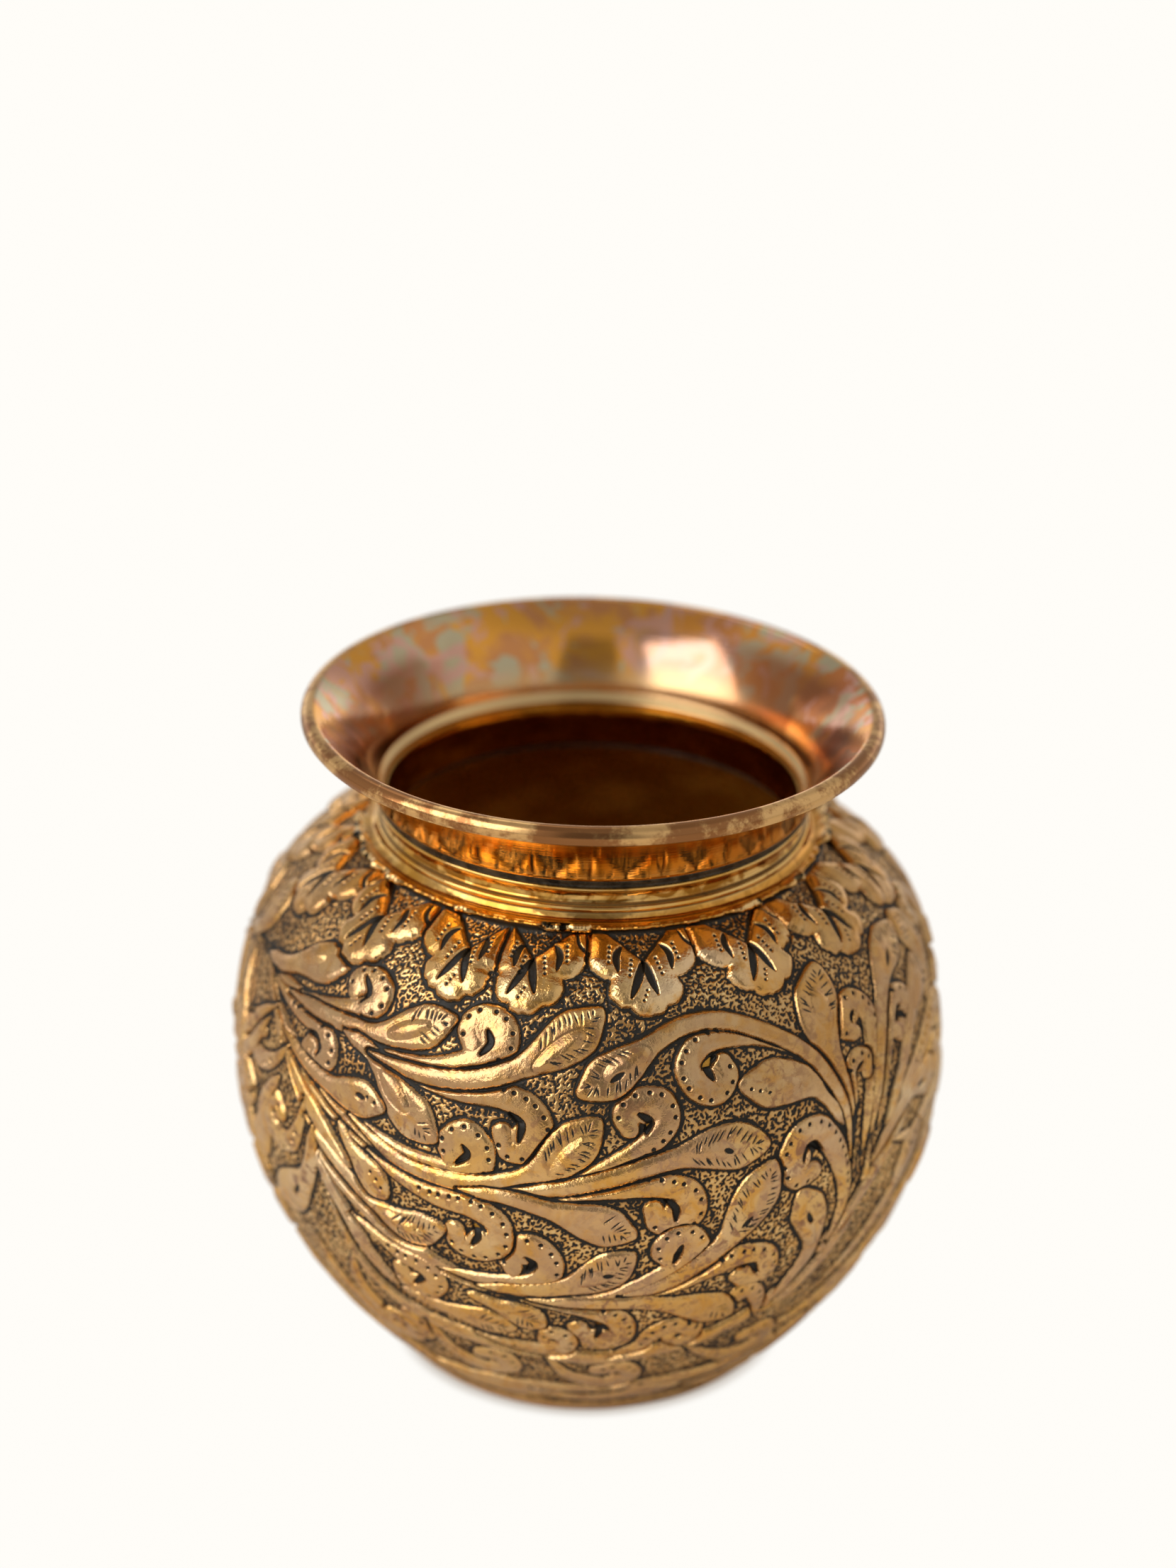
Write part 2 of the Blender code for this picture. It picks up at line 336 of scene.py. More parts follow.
def leaf(points, half_width, boss=None, gouge=None, hatch=0.0, pips=0):
    """A stalk that swells into a pointed leaf. boss is a pad's two ends, and its half width if it isn't
    the usual one; gouge is a cut; hatch is the share of the blade with strokes along its edges; pips is
    how many dots are punched near the tip."""
    path, tangent, at = curve_through(points)
    from_tip = at[-1] - at
    blade = min(4.2 * half_width, 0.70 * at[-1])
    u = from_tip / blade
    head = np.clip(u / 0.34, 0, 1) ** 0.70
    back = 1 - 0.56 * smooth((u - 0.34) / 0.66)
    w = half_width * np.where(u < 0.34, head, back)
    root = [0.15, 0.30 * half_width, 0.44 * half_width]
    w = np.maximum(np.where(u > 1, np.interp(at / max(at[-1] - blade, 1), [0, 0.3, 1], root), w), 0.05)
    rows, columns, outside, k, side = ribbon_field(path, tangent, w, SHAPE_MARGIN)
    wide = w[k]
    v = np.clip(np.abs(side) / np.maximum(wide, 0.1), 0, 1)
    edge = 1 - (1 - np.clip(-outside / 1.05, 0, 1)) ** 2
    crown = (1 - v**2) * np.clip(wide / 2.6, 0.35, 1.0)
    hollow = np.exp(-((v / 0.45) ** 2)) * smooth((wide - 1.4) / 1.4)
    lay(rows, columns, outside, FACE + 0.30 * edge + 0.26 * crown - 0.10 * hollow)
    if boss:
        pad(*boss)
    if gouge:
        mark(gouge, 0.45, 0.36, 0.95)
    if hatch:
        hatch_leaf(path, tangent, at, w, blade, hatch)
    for i in range(pips):
        k = int(np.argmin(np.abs(from_tip - (1.6 + 1.5 * i))))
        dot(*offset_point(path, tangent, k, 0.35 * w[k]), 0.30)


DOT_STEP = 1.6  # mm between punched dots


def hatch_leaf(path, tangent, at, w, blade, reach):
    """Short strokes from a leaf's edge in towards its stalk, on both sides of the tip."""
    draw = np.random.default_rng(int(abs(path[0, 0]) * 10 + path[0, 1]))
    for sign in (-1, 1):
        back = 0.9
        while back < blade * reach:
            k = int(np.argmin(np.abs(at[-1] - back - at)))
            inner = max(0, k - int(draw.uniform(2.5, 5.0)))
            outer_side = sign * max(w[k] - 0.38, 0.1)
            inner_side = sign * max(w[k] - draw.uniform(1.8, 2.6), 0.1)
            start = offset_point(path, tangent, k, outer_side)
            end = offset_point(path, tangent, inner, inner_side)
            mark([start, end], 0.15, 0.17, 1.0, taper=0.9)
            back += draw.uniform(0.65, 1.0)


def curl(points, half_width, gouges=()):
    """A stalk that swells and rolls into a scroll, with punched dots along its outer edge. gouges is
    the cut inside the scroll; without one, the cut follows the scroll's inner edge."""
    path, tangent, at = curve_through(points)
    t = at / at[-1]
    w = half_width * (0.08 + 0.30 * smooth(t / 0.15) + 0.62 * smooth((t - 0.05) / 0.50))
    w *= 1 - 0.22 * smooth((t - 0.85) / 0.15)
    rows, columns, outside, k, side = ribbon_field(path, tangent, w, SHAPE_MARGIN)
    v = np.clip(np.abs(side) / w[k], 0, 1)
    head = path[int(len(path) * 0.66):].mean(0)
    from_head = np.hypot(
        ((columns * 360.0 / COLUMNS)[None, :] - head[0] + 180) % 360 * mm_per_degree[rows][:, None]
        - 180 * mm_per_degree[rows][:, None],
        row_run[rows][:, None] - head[1],
    )
    outside = np.minimum(outside, from_head - 1.1 * half_width)
    edge = 1 - (1 - np.clip(-outside / 0.95, 0, 1)) ** 2
    lay(rows, columns, outside, FACE + 0.32 * edge + 0.24 * (1 - v**2) * np.clip(w[k] / 2, 0.4, 1))
    turning = np.sign(np.sum(tangent[:-1, 0] * tangent[1:, 1] - tangent[:-1, 1] * tangent[1:, 0]))
    along = 0.28 * at[-1]
    while along < at[-1] - 0.8:
        i = int(np.argmin(np.abs(at - along)))
        dot(*offset_point(path, tangent, i, -turning * (w[i] - 0.95)), 0.35, 0.40)
        along += DOT_STEP
    if gouges:
        mark(gouges, 0.56, 0.6, 1.0, taper=0.65)
    else:
        ring = [offset_point(path, tangent, i, turning * (w[i] + 0.1))
                for i in (int(len(at) * 0.74), int(len(at) * 0.86), int(len(at) * 0.97))]
        mark(ring, 0.50, 0.55, 1.0, taper=0.65)


def stem(points, half_width, thin_start=0.08, thin_end=0.08):
    """A plain ridge, thinner towards its ends."""
    path, tangent, at = curve_through(points)
    t = at / at[-1]
    w = half_width * np.minimum(
        thin_start + (1 - thin_start) * smooth(t / 0.35),
        thin_end + (1 - thin_end) * smooth((1 - t) / 0.45),
    )
    rows, columns, outside, k, side = ribbon_field(path, tangent, w, SHAPE_MARGIN)
    v = np.clip(np.abs(side) / w[k], 0, 1)
    edge = 1 - (1 - np.clip(-outside / 0.6, 0, 1)) ** 2
    lay(rows, columns, outside, FACE + 0.34 * edge + 0.26 * (1 - v**2), line=THIN_LINE)


# ---------------------------------------------------------------- vine design, one half of the pot
# Each row is drawn as (angle, run) points from root to tip, with the shape's half width in mm.
CURLS = [
    ([(-57, 80), (-50, 80.6), (-44, 81.6), (-39.5, 83.6), (-39.3, 86), (-42.5, 87.2), (-45.3, 86.2),
      (-44.8, 84.6)], 1.9, [(-43.6, 86.9), (-41.7, 85.2), (-42.5, 83.3)]),
    ([(-40, 78), (-32, 77.5), (-25, 77.8), (-19, 79.8), (-14.5, 82.5), (-15.2, 85.3), (-18.5, 86.3),
      (-21, 84.6), (-19.8, 82.2)], 2.1, [(-17.5, 84.4), (-16.7, 82.7), (-18, 81)]),
    ([(-38, 77.6), (-30, 76.2), (-22, 75.4), (-15, 75.6), (-9.8, 74.3), (-7.3, 71.2), (-8.8, 68),
      (-12.3, 67.6), (-13.3, 70.2)], 2.0, [(-12.2, 73), (-10.3, 71.6), (-10.6, 69.1)]),
    ([(38, 76.5), (33, 80), (28, 82.3), (23, 83.2), (18.5, 82.6), (16, 79.8), (17.2, 76.5), (20.3, 75.2),
      (22.5, 77.2), (21.8, 79.4)], 2.0, [(20.8, 80.5), (19.2, 79.1), (20, 77.2)]),
    ([(48, 58), (49.5, 64), (51, 69), (52.4, 74.5), (52.8, 79), (50, 82), (46.8, 81), (46.3, 78.5),
      (48.3, 77.2)], 1.8, ()),
    ([(45.6, 60), (45.8, 66), (45.8, 70.5), (47.3, 73.2), (49.8, 72.6), (50, 70.3)], 1.4,
     [(48.9, 72.2), (47.2, 71.3), (47.2, 70)]),
    ([(52, 60), (54.5, 68), (57, 74), (60, 78), (64, 77.3), (65.5, 74), (62.5, 71.8), (59.5, 73.2)], 1.8,
     [(60, 75.2), (62.2, 74.7), (63.3, 73.6)]),
    ([(-12, 61.5), (-3, 63), (4, 65.6), (9, 68.5), (12.3, 71.8), (11.3, 75), (7.8, 75.4), (5.3, 73.6),
      (6.3, 71.3)], 1.9, [(7.8, 73.4), (9.4, 72.2), (8.9, 70.5)]),
    ([(-12, 60.3), (-4, 61), (4, 62), (10, 62.2), (15, 60.6), (16.3, 57.6), (14.2, 55.3), (10.8, 55.8),
      (9.8, 58.2)], 2.0, [(11.8, 59.6), (13.3, 58.1), (13.3, 56.2)]),
    ([(-24, 45), (-16, 44.2), (-9, 44.5), (-6, 47), (-6.3, 50), (-9, 52), (-12.3, 50), (-11.8, 47.5)], 2.0,
     [(-9.6, 49.8), (-8.6, 48.7), (-9.4, 47)]),
    ([(-6, 41.5), (3, 42.5), (9, 44.3), (14.5, 47.6), (17.3, 50.3), (16, 52.8), (13, 52.8), (11.2, 50.6),
      (12.5, 48.8)], 1.8, [(14.4, 51.4), (14, 50), (13.3, 48.4)]),
    ([(6, 41.5), (14, 43.3), (20, 45.8), (25, 47.2), (29.3, 45.8), (29.7, 42.6), (27, 41.3), (24.8, 42.8)],
     1.9, [(23.9, 44.8), (26.7, 44.8), (28, 42.8)]),
    ([(31, 31), (30.2, 35), (28.5, 38.2), (25.8, 38.8), (24.6, 36.5)], 1.6, [(26.4, 37), (26.9, 35.3)]),
    ([(42, 44), (44, 50), (43.5, 56), (41.5, 61), (38.5, 65), (34.5, 65), (32.5, 61.5), (34, 58.2),
      (36.8, 58.6)], 2.1, [(35, 60.8), (35.3, 62.4), (36.9, 63.1), (38.6, 61.6)]),
    ([(-36, 62.5), (-30, 59.8), (-24, 58.2), (-18, 57.6), (-14, 55.2), (-13.8, 51.6), (-16.8, 49.9),
      (-20.2, 50.8), (-20.8, 53)], 2.0, [(-18, 54.6), (-17, 52.8), (-18, 51)]),
    ([(-50, 70.5), (-42, 67.2), (-35, 64.8), (-28, 63), (-21, 62.6), (-16.8, 64), (-16.5, 67.3),
      (-19.3, 69.3), (-22, 67.5), (-21.3, 65.3)], 2.0, [(-19.3, 67.3), (-18.6, 66), (-20.3, 64.4)]),
    ([(-66, 79), (-58, 77.8), (-51, 77.4), (-46.8, 75.9), (-46.2, 73.3), (-49, 72.2), (-51.3, 73.3),
      (-50.6, 74.6)], 1.7, [(-51.7, 75.8), (-49.4, 75.8), (-48.3, 74.4), (-48.6, 73.3)]),
    ([(-40, 50), (-36, 48), (-31.5, 45.6), (-27, 44), (-25.3, 41.3), (-27.5, 38.7), (-31, 39.5),
      (-31.8, 42.3)], 1.8, [(-28, 42.6), (-28, 41.4), (-29.4, 40)]),
    ([(-12, 40.6), (-5, 39.9), (1, 38.6), (5, 36.3), (5.8, 32.8), (3, 30.8), (-0.8, 31.8), (-1.8, 34.6)],
     2.0, [(1.4, 36.4), (2, 34.5), (1.4, 32.3)]),
    ([(-20, 30.5), (-14, 28.8), (-8, 28), (-4.2, 29), (-4, 31.8), (-6.5, 33), (-7.5, 31)], 1.6, ()),
    ([(4, 26.5), (9, 29), (11.5, 32.3), (15.3, 33.7), (18.3, 32), (17.2, 29.5), (14.8, 30.3)], 1.8, ()),
    ([(-50, 66), (-51.5, 61), (-54.5, 56.6), (-59, 56), (-61.5, 59), (-59.5, 62), (-57, 60.5)], 1.9, ()),
    ([(-56, 72), (-60, 68), (-65, 66), (-69, 68), (-68, 71.5), (-65, 70.8)], 1.7, ()),
    ([(-62, 76), (-68, 72), (-74, 66), (-76, 60), (-72.5, 56.5), (-69, 59), (-71, 62)], 1.9, ()),
    ([(54, 60), (62, 64), (70, 67.5), (77, 70), (82, 67.5), (82, 63.5), (78, 62.3), (76, 65)], 1.9, ()),
    ([(84, 74.5), (88, 79), (89, 84), (85, 87), (81.5, 84.5), (83.5, 82)], 1.8, ()),
    ([(-42, 42), (-44, 34), (-41, 27), (-35, 24), (-31.5, 27), (-34.5, 30)], 1.8, ()),
    ([(-30, 31), (-28, 23), (-22, 18.5), (-16, 20), (-17, 24), (-21, 23.5)], 1.8, ()),
    ([(-8, 25.5), (-4, 19), (3, 16), (8.5, 18.5), (6.5, 22), (2, 21)], 1.8, ()),
    ([(18, 27), (24, 22), (31, 19), (37, 21.5), (35.5, 25.5), (31, 25)], 1.8, ()),
    ([(56, 56), (63, 54), (71, 55.5), (77, 60), (74.5, 64), (70.5, 62), (72, 59.5)], 1.8, ()),
    ([(48, 24), (57, 20), (66, 20.5), (72, 25), (69.5, 29), (65, 27.5)], 1.8, ()),
    ([(84, 57), (92, 60), (101, 62.5), (107, 60), (105.5, 56.5), (101.5, 57.5)], 1.7, ()),
    ([(82, 30), (92, 31), (101, 35.5), (105, 41), (101, 44.5), (97, 42)], 1.8, ()),
    ([(-52, 40), (-50, 31), (-44, 24), (-37, 22.5), (-35, 26.5), (-39, 28)], 1.8, ()),
]

LEAVES = [
    dict(points=[(-72, 80.5), (-65, 81.5), (-57, 85), (-48.5, 87)], half_width=3.2,
         boss=[(-60.5, 84.6), (-55.5, 86), 1.1]),
    dict(points=[(-60, 79), (-45, 79.5), (-38, 80), (-31, 82.3), (-23.6, 85.4)], half_width=3.3,
         boss=[(-34.3, 80.9), (-28.3, 83.3)], hatch=0.42),
    dict(points=[(-44, 78.5), (-38, 77.3), (-35.8, 76), (-30.5, 71.5), (-23.9, 66.9)], half_width=3.4,
         boss=[(-33.9, 75), (-29.4, 71.3), 1.2], hatch=0.2),
    dict(points=[(-38, 77.2), (-28, 76.4), (-20, 77), (-13, 79), (-7, 82.3), (-2.5, 85.3), (1.9, 88.9)],
         half_width=3.7, boss=[(-8, 80.2), (-2, 84.7), 1.3], hatch=0.62),
    dict(points=[(43.5, 64), (41.5, 68.5), (38, 72.2), (33, 74), (24.4, 75.6)], half_width=3.7,
         boss=[(34.2, 73.6), (28.9, 73.8)], pips=3),
    dict(points=[(45.3, 62), (44.6, 68), (43.2, 73), (42, 78), (42, 83), (45.5, 89.6)], half_width=3.9,
         boss=[(42.8, 80.6), (42.3, 85.3), 1.5], hatch=0.45),
    dict(points=[(45, 58), (44.4, 66), (41.5, 72), (38.5, 76.5), (34.5, 80), (30, 82.7), (25, 85), (20, 86),
                 (15, 85.4), (11, 83.8), (8, 82), (4, 79.5), (-1.8, 76.3)], half_width=3.4,
         boss=[(8.6, 82), (3.4, 79.4), 1.5], gouge=[(5.4, 79.6), (3.4, 78.3)], hatch=0.62),
    dict(points=[(50, 60), (52.5, 67), (54.5, 73), (57.5, 79), (62.5, 83.8), (72, 87)], half_width=3.5,
         gouge=[(62.4, 82.8), (64.8, 84.6)], hatch=0.4),
    dict(points=[(53, 58), (58, 64.5), (63.5, 71), (69, 75.5), (78, 79.5)], half_width=3.4,
         boss=[(67, 74), (72, 77)], hatch=0.4),
    dict(points=[(50, 55), (58, 60), (66, 61.5), (75, 58.8)], half_width=3.2,
         gouge=[(64.5, 61.4), (67.5, 61)], hatch=0.4),
    dict(points=[(-40, 67), (-30, 62.5), (-20, 61.3), (-12, 62.5), (-7, 64.8), (-2.5, 68.5), (1.8, 72.8)],
         half_width=3.6, boss=[(-4.9, 64.9), (-0.8, 69.6), 1.2], hatch=0.6),
    dict(points=[(-15, 60.6), (-5, 61.8), (3, 63.6), (10, 65.4), (17, 66.5), (22, 66.6), (28.8, 65.6)],
         half_width=3.7, boss=[(16.5, 66.8), (22.8, 66.2)], gouge=[(21, 66.6), (22.3, 65.9)], hatch=0.75),
    dict(points=[(-20, 60.3), (-12, 59.8), (-6, 58.4), (0, 56.5), (7.3, 53.8)], half_width=3.4, hatch=0.3),
    dict(points=[(-18, 42.8), (-10, 43), (-4, 44), (1.5, 46.3), (7.2, 50.6)], half_width=3.3,
         boss=[(-1, 45.5), (3.5, 47.2)], gouge=[(2.4, 47.1), (4, 46.9)], hatch=0.6),
    dict(points=[(5, 42), (12, 44), (18, 47.5), (22.5, 51.5), (26, 56.5), (29.8, 62.5)], half_width=3.8,
         gouge=[(25.8, 54.2), (24.2, 52.8)], hatch=0.7),
    dict(points=[(-10, 41), (0, 40.5), (8, 40.3), (14, 39), (20, 37), (25.5, 33.8)], half_width=3.3,
         hatch=0.25),
    dict(points=[(33, 34), (36, 38.5), (38.3, 43), (38, 48), (36.5, 52), (34.6, 56)], half_width=3.2,
         boss=[(38, 45.5), (35.6, 49.8)], gouge=[(37.3, 49.4), (36.2, 51.6)]),
    dict(points=[(-50, 63), (-42, 58), (-36, 54.5), (-31, 52), (-27, 51.6), (-22.5, 53)], half_width=3.0,
         boss=[(-32.2, 52.9), (-26.7, 51.2), 0.9], hatch=0.6),
    dict(points=[(-58, 73.5), (-50, 71), (-44, 70), (-38, 70), (-33.2, 69.6)], half_width=2.9,
         gouge=[(-38.6, 70.6), (-37, 70.4)], pips=2),
    dict(points=[(-42, 65), (-39, 61.5), (-36, 58.8), (-32.3, 55.5)], half_width=2.6, pips=3),
    dict(points=[(-20, 40.5), (-16, 39), (-11.5, 37.2), (-7.5, 34.8)], half_width=2.9, hatch=0.4),
    dict(points=[(-33, 37.5), (-28, 35.8), (-22, 35), (-17, 34.2), (-12.5, 33)], half_width=2.8,
         hatch=0.4),
    dict(points=[(-48, 62), (-49.5, 54), (-54, 48.5), (-62, 43)], half_width=3.7,
         gouge=[(-52.6, 49.6), (-54.6, 47.4)]),
    dict(points=[(-64, 73), (-70, 66), (-78, 62), (-86, 64)], half_width=3.4, hatch=0.4),
    dict(points=[(-58, 66), (-63, 60), (-64.5, 54), (-70, 48)], half_width=3.2, hatch=0.35),
    dict(points=[(86, 75), (91, 69), (97, 65), (104, 66)], half_width=3.3,
         boss=[(95, 66), (99.5, 65.5)], hatch=0.4),
    dict(points=[(92, 78), (97, 80), (100, 84), (99.5, 90)], half_width=3.2, hatch=0.4),
    dict(points=[(74, 72), (77, 76), (77, 81), (74, 88)], half_width=3.2,
         boss=[(77, 79), (75.8, 83)], hatch=0.4),
    dict(points=[(46, 33), (54, 40), (61, 47), (66, 55)], half_width=2.9, hatch=0.4),
    dict(points=[(52, 30), (62, 35.5), (71, 43), (79, 52)], half_width=3.2,
         boss=[(69, 42), (75, 48.5)], hatch=0.4),
    dict(points=[(62, 27), (74, 31), (84, 38), (92, 47.5)], half_width=3.2, hatch=0.5),
    dict(points=[(76, 50), (86, 53), (96, 53.5), (106, 51)], half_width=3.0,
         gouge=[(94, 53.5), (97, 53.2)]),
    dict(points=[(80, 35), (90, 38.5), (100, 46), (108, 56)], half_width=3.2, hatch=0.4),
    dict(points=[(70, 20), (82, 22.5), (93, 28), (102, 36)], half_width=3.1,
         boss=[(92, 28), (98, 33)], hatch=0.4),
    dict(points=[(92, 25), (102, 28), (110, 34), (116, 42.5)], half_width=3.0, hatch=0.4),
    dict(points=[(-68, 36), (-60, 25), (-49, 17), (-36, 13.5)], half_width=3.3, hatch=0.4),
    dict(points=[(-42, 15), (-30, 10.5), (-18, 9.5), (-6, 12)], half_width=3.0, hatch=0.4),
    dict(points=[(-14, 9), (-2, 8), (11, 9), (22, 13.5)], half_width=2.9, gouge=[(12, 9.6), (15, 10.6)]),
    dict(points=[(10, 15), (20, 13.5), (31, 14.5), (42, 19.5)], half_width=2.9, hatch=0.4),
    dict(points=[(24, 8.5), (36, 8), (48, 10.5), (60, 16.5)], half_width=2.9, hatch=0.4),
    dict(points=[(44, 9.5), (57, 8.5), (69, 11.5), (80, 18.5)], half_width=2.8,
         gouge=[(70, 12.6), (73, 14.4)]),
    dict(points=[(64, 9), (78, 9.5), (89, 13.5), (99, 20.5)], half_width=2.9, hatch=0.4),
    dict(points=[(84, 8), (97, 8), (108, 11.5), (118, 18)], half_width=2.8, hatch=0.4),
]

STEMS = [
    ([(-72, 81), (-62, 75.5), (-55.8, 70.8), (-51.7, 67.7), (-47.5, 64.7), (-43.3, 61), (-38.9, 57.4),
      (-35, 54.5), (-30, 51), (-24, 48)], 1.5),
    ([(-72, 80.8), (-60, 79.6), (-45, 79), (-34, 77.3), (-22, 76.2)], 1.25),
    ([(-66, 78.5), (-56, 73.5), (-48, 68.8), (-40, 65.2), (-30, 62), (-18, 60.6), (-6, 61)], 1.35),
    ([(-58, 72), (-52, 66), (-48, 61), (-44, 57.3), (-40, 54.6), (-36, 52), (-32, 49.7), (-27, 47),
      (-23, 45), (-17, 43), (-10, 42), (0, 41.3), (8, 41.2)], 1.6),
    ([(-50, 64), (-47, 58), (-44.4, 54.2), (-40.6, 48.7), (-38.4, 44.5), (-35, 40), (-30.8, 37.8),
      (-24, 36.3)], 1.3),
    ([(-46, 54), (-43, 46), (-40, 40), (-35, 34.5), (-28, 31), (-20, 29), (-5, 26.4), (2, 25.8), (10, 27),
      (20, 28.6), (30, 33), (36, 38.5), (41, 44), (45, 52), (46, 60)], 1.7),
    ([(30, 30.5), (38, 36), (44, 43), (48, 51), (50, 60)], 1.1),
    ([(34, 36), (40, 42), (50, 52), (62, 61), (76, 70), (92, 77.5), (108, 81)], 1.5),
    ([(60, 58), (72, 64), (84, 72.5), (96, 78), (107, 80)], 1.0),
    ([(30, 23), (43, 26), (56, 33), (70, 44), (84, 56), (98, 66), (110, 72)], 1.8),
    ([(24, 17), (40, 18), (56, 24), (70, 31), (86, 42), (102, 54), (114, 60)], 1.7),
    ([(-56, 22), (-40, 15), (-20, 13.5), (0, 13.5), (20, 15.5), (38, 16.5), (54, 19)], 1.2),
    ([(50, 17), (68, 20), (86, 29), (104, 39), (118, 47)], 1.6),
    ([(100, 79), (104, 70), (107, 60), (112, 50), (116, 44)], 1.1),
]


def shifted(points, turn, draw, size):
    """The same shape on the other side of the pot, moved a little by hand."""
    return [(a + turn + draw.normal() * size, r + draw.normal() * size * 0.6) for a, r in points]


def draw_vine():
    """Draws the design twice, the second time on the far side and moved a little by hand."""
    draw = np.random.default_rng(5)
    for turn, size in ((0, 0.0), (180, 0.35)):
        for points, half_width in STEMS:
            stem(shifted(points, turn, draw, size * 0.5), half_width)
        for points, half_width, gouges in CURLS:
            curl(shifted(points, turn, draw, size), half_width, shifted(gouges, turn, draw, 0))
        for row in LEAVES:
            moved = dict(row)
            moved["points"] = shifted(row["points"], turn, draw, size)
            if row.get("boss"):
                ends = shifted(row["boss"][:2], turn, draw, 0)
                moved["boss"] = ends + list(row["boss"][2:])
            if row.get("gouge"):
                moved["gouge"] = shifted(row["gouge"], turn, draw, 0)
            leaf(**moved)


# ---------------------------------------------------------------- petal band under the collar
FRONT_PETALS = (-49.4, -26.1, -12.3, 10.4, 34.2, 57.0)  # their middles, spaced unevenly
BACK_PETALS = 10
HALF_PETAL = 11.4  # half of a full petal's width, in degrees
LOBES = [(11.4, 97.2, 0.9), (6.4, 93.3, 1.5), (3.4, 88.9, 1.45), (-3.4, 88.9, 1.6), (-6.6, 93.4, 0.9),
         (-11.4, 97.2, 0.0)]  # cusp angle, run, and how far the lobe after it bulges
NOTCH = [(-11.4, 101.9), (-7.2, 101.6), (-4.2, 99.6), (-1.8, 97.6), (0, 96.2), (1.8, 97.6), (4.2, 99.6),
         (7.2, 101.6), (11.4, 101.9)]


def petal_centres():
    """The middle angle of every petal: the front ones as listed, the rest evenly spaced."""
    around = FRONT_PETALS[0] + 360
    return list(FRONT_PETALS) + list(np.linspace(FRONT_PETALS[-1], around, BACK_PETALS + 2)[1:-1])


def lobed_outline(left, right):
    """One petal's closed outline, in degrees from its own centre; left and right are its half widths."""
    points = [np.array(p, float) for p in NOTCH]
    for (a0, r0, bulge), (a1, r1, _) in zip(LOBES, LOBES[1:]):
        scale = scale_at((r0 + r1) / 2)
        start, end = np.array([a0 * scale, r0]), np.array([a1 * scale, r1])
        chord = end - start
        out = np.array([-chord[1], chord[0]]) / np.hypot(*chord)
        for t in np.linspace(0, 1, 9)[:-1]:
            p = start + chord * t + out * bulge * (1 - (2 * t - 1) ** 2) ** 0.6
            points.append(np.array([p[0] / scale, p[1]]))
    points = np.array(points)
    blade = 7.5  # the outer part, past this angle, takes up most of a narrow petal's squeeze
    for sign, half in ((1, right), (-1, left)):
        x = points[:, 0] * sign
        keep = min(1.0, 0.92 * half / blade)
        outer = (half - blade * keep) / (HALF_PETAL - blade)
        moved = np.where(x < blade, x * keep, blade * keep + (x - blade) * outer)
        points[:, 0] = np.where(x > 0, moved * sign, points[:, 0])
    return points


def polygon_field(points, centre, margin):
    """Distance outside a closed outline, negative inside it, for the grid points near it."""
    low, high = points.min(0), points.max(0)
    rows, columns, angles = window(low[0] + centre, high[0] + centre, low[1], high[1], margin)
    scale = mm_per_degree[rows][:, None]
    x = (angles[None, :] - centre) * scale
    y = np.broadcast_to(row_run[rows][:, None], x.shape)
    away = np.full(x.shape, FAR)
    inside = np.zeros(x.shape, bool)
    for (a0, r0), (a1, r1) in zip(points, np.roll(points, -1, axis=0)):
        x0, x1 = a0 * scale, a1 * scale
        dx, dy = x1 - x0, r1 - r0
        t = np.clip(((x - x0) * dx + (y - r0) * dy) / (dx * dx + dy * dy + 1e-9), 0, 1)
        away = np.minimum(away, np.hypot(x - x0 - t * dx, y - r0 - t * dy))
        if r0 != r1:
            crosses = (y > min(r0, r1)) & (y <= max(r0, r1)) & (x < x0 + (y - r0) * dx / (r1 - r0))
            inside ^= crosses
    return rows, columns, np.where(inside, -away, away).astype(np.float32)


def draw_petals():
    """Draws each petal with its inner cuts, its punched dots and the small cup beside it."""
    centres = petal_centres()
    draw = np.random.default_rng(9)
    count = len(centres)
    for i, centre in enumerate(centres):
        right = ((centres[(i + 1) % count] - centre) % 360) / 2
        left = ((centre - centres[i - 1]) % 360) / 2
        outline = lobed_outline(left, right)
        outline[:, 0] += draw.normal(0, 0.12, len(outline))
        outline[:, 1] += draw.normal(0, 0.08, len(outline))
        rows, columns, outside = polygon_field(outline, centre, 1.0)
        puff = 1 - (1 - np.clip(-outside / 2.1, 0, 1)) ** 2
        edge = 1 - (1 - np.clip(-outside / 0.6, 0, 1)) ** 2
        lay(rows, columns, outside, FACE + 0.26 * edge + 0.60 * puff)
        for a, run in ((-3.2, 90.2), (1.7, 90.6)):
            mark([(centre, 96.4), (centre + a * 0.4, 93.6), (centre + a, run)], 0.58, 0.46, 1.0, taper=0.88)
        wide_right, wide_left = min(right / HALF_PETAL, 1), min(left / HALF_PETAL, 1)
        for sign, wide in ((1, wide_right), (-1, wide_left)):
            flank = [(4.2, 98.8), (5.6, 96.8), (5.4, 94.4)]
            mark([(centre + sign * a * wide, r) for a, r in flank], 0.50, 0.40, 1.0, taper=0.88)
            for k in range(4):
                dot(centre + sign * (6.9 + 0.1 * k) * wide, 98.4 - 0.85 * k, 0.27, 0.26)
                dot(centre + sign * (2.5 + 0.22 * k) * wide, 96.2 - 0.85 * k, 0.27, 0.26)
        for k in range(3):
            dot(centre - 0.2 - 0.4 * k, 91.2 - 0.75 * k, 0.25, 0.24)
        if right > 9:
            cup = [(-2.6, 100.9), (-1.9, 98.8), (0, 97.8), (1.9, 98.8), (2.6, 100.9)]
            mark([(centre + right + a, r) for a, r in cup], 0.32, 0.34, 1.0, taper=0.6)


matted_ground()
draw_vine()
draw_petals()
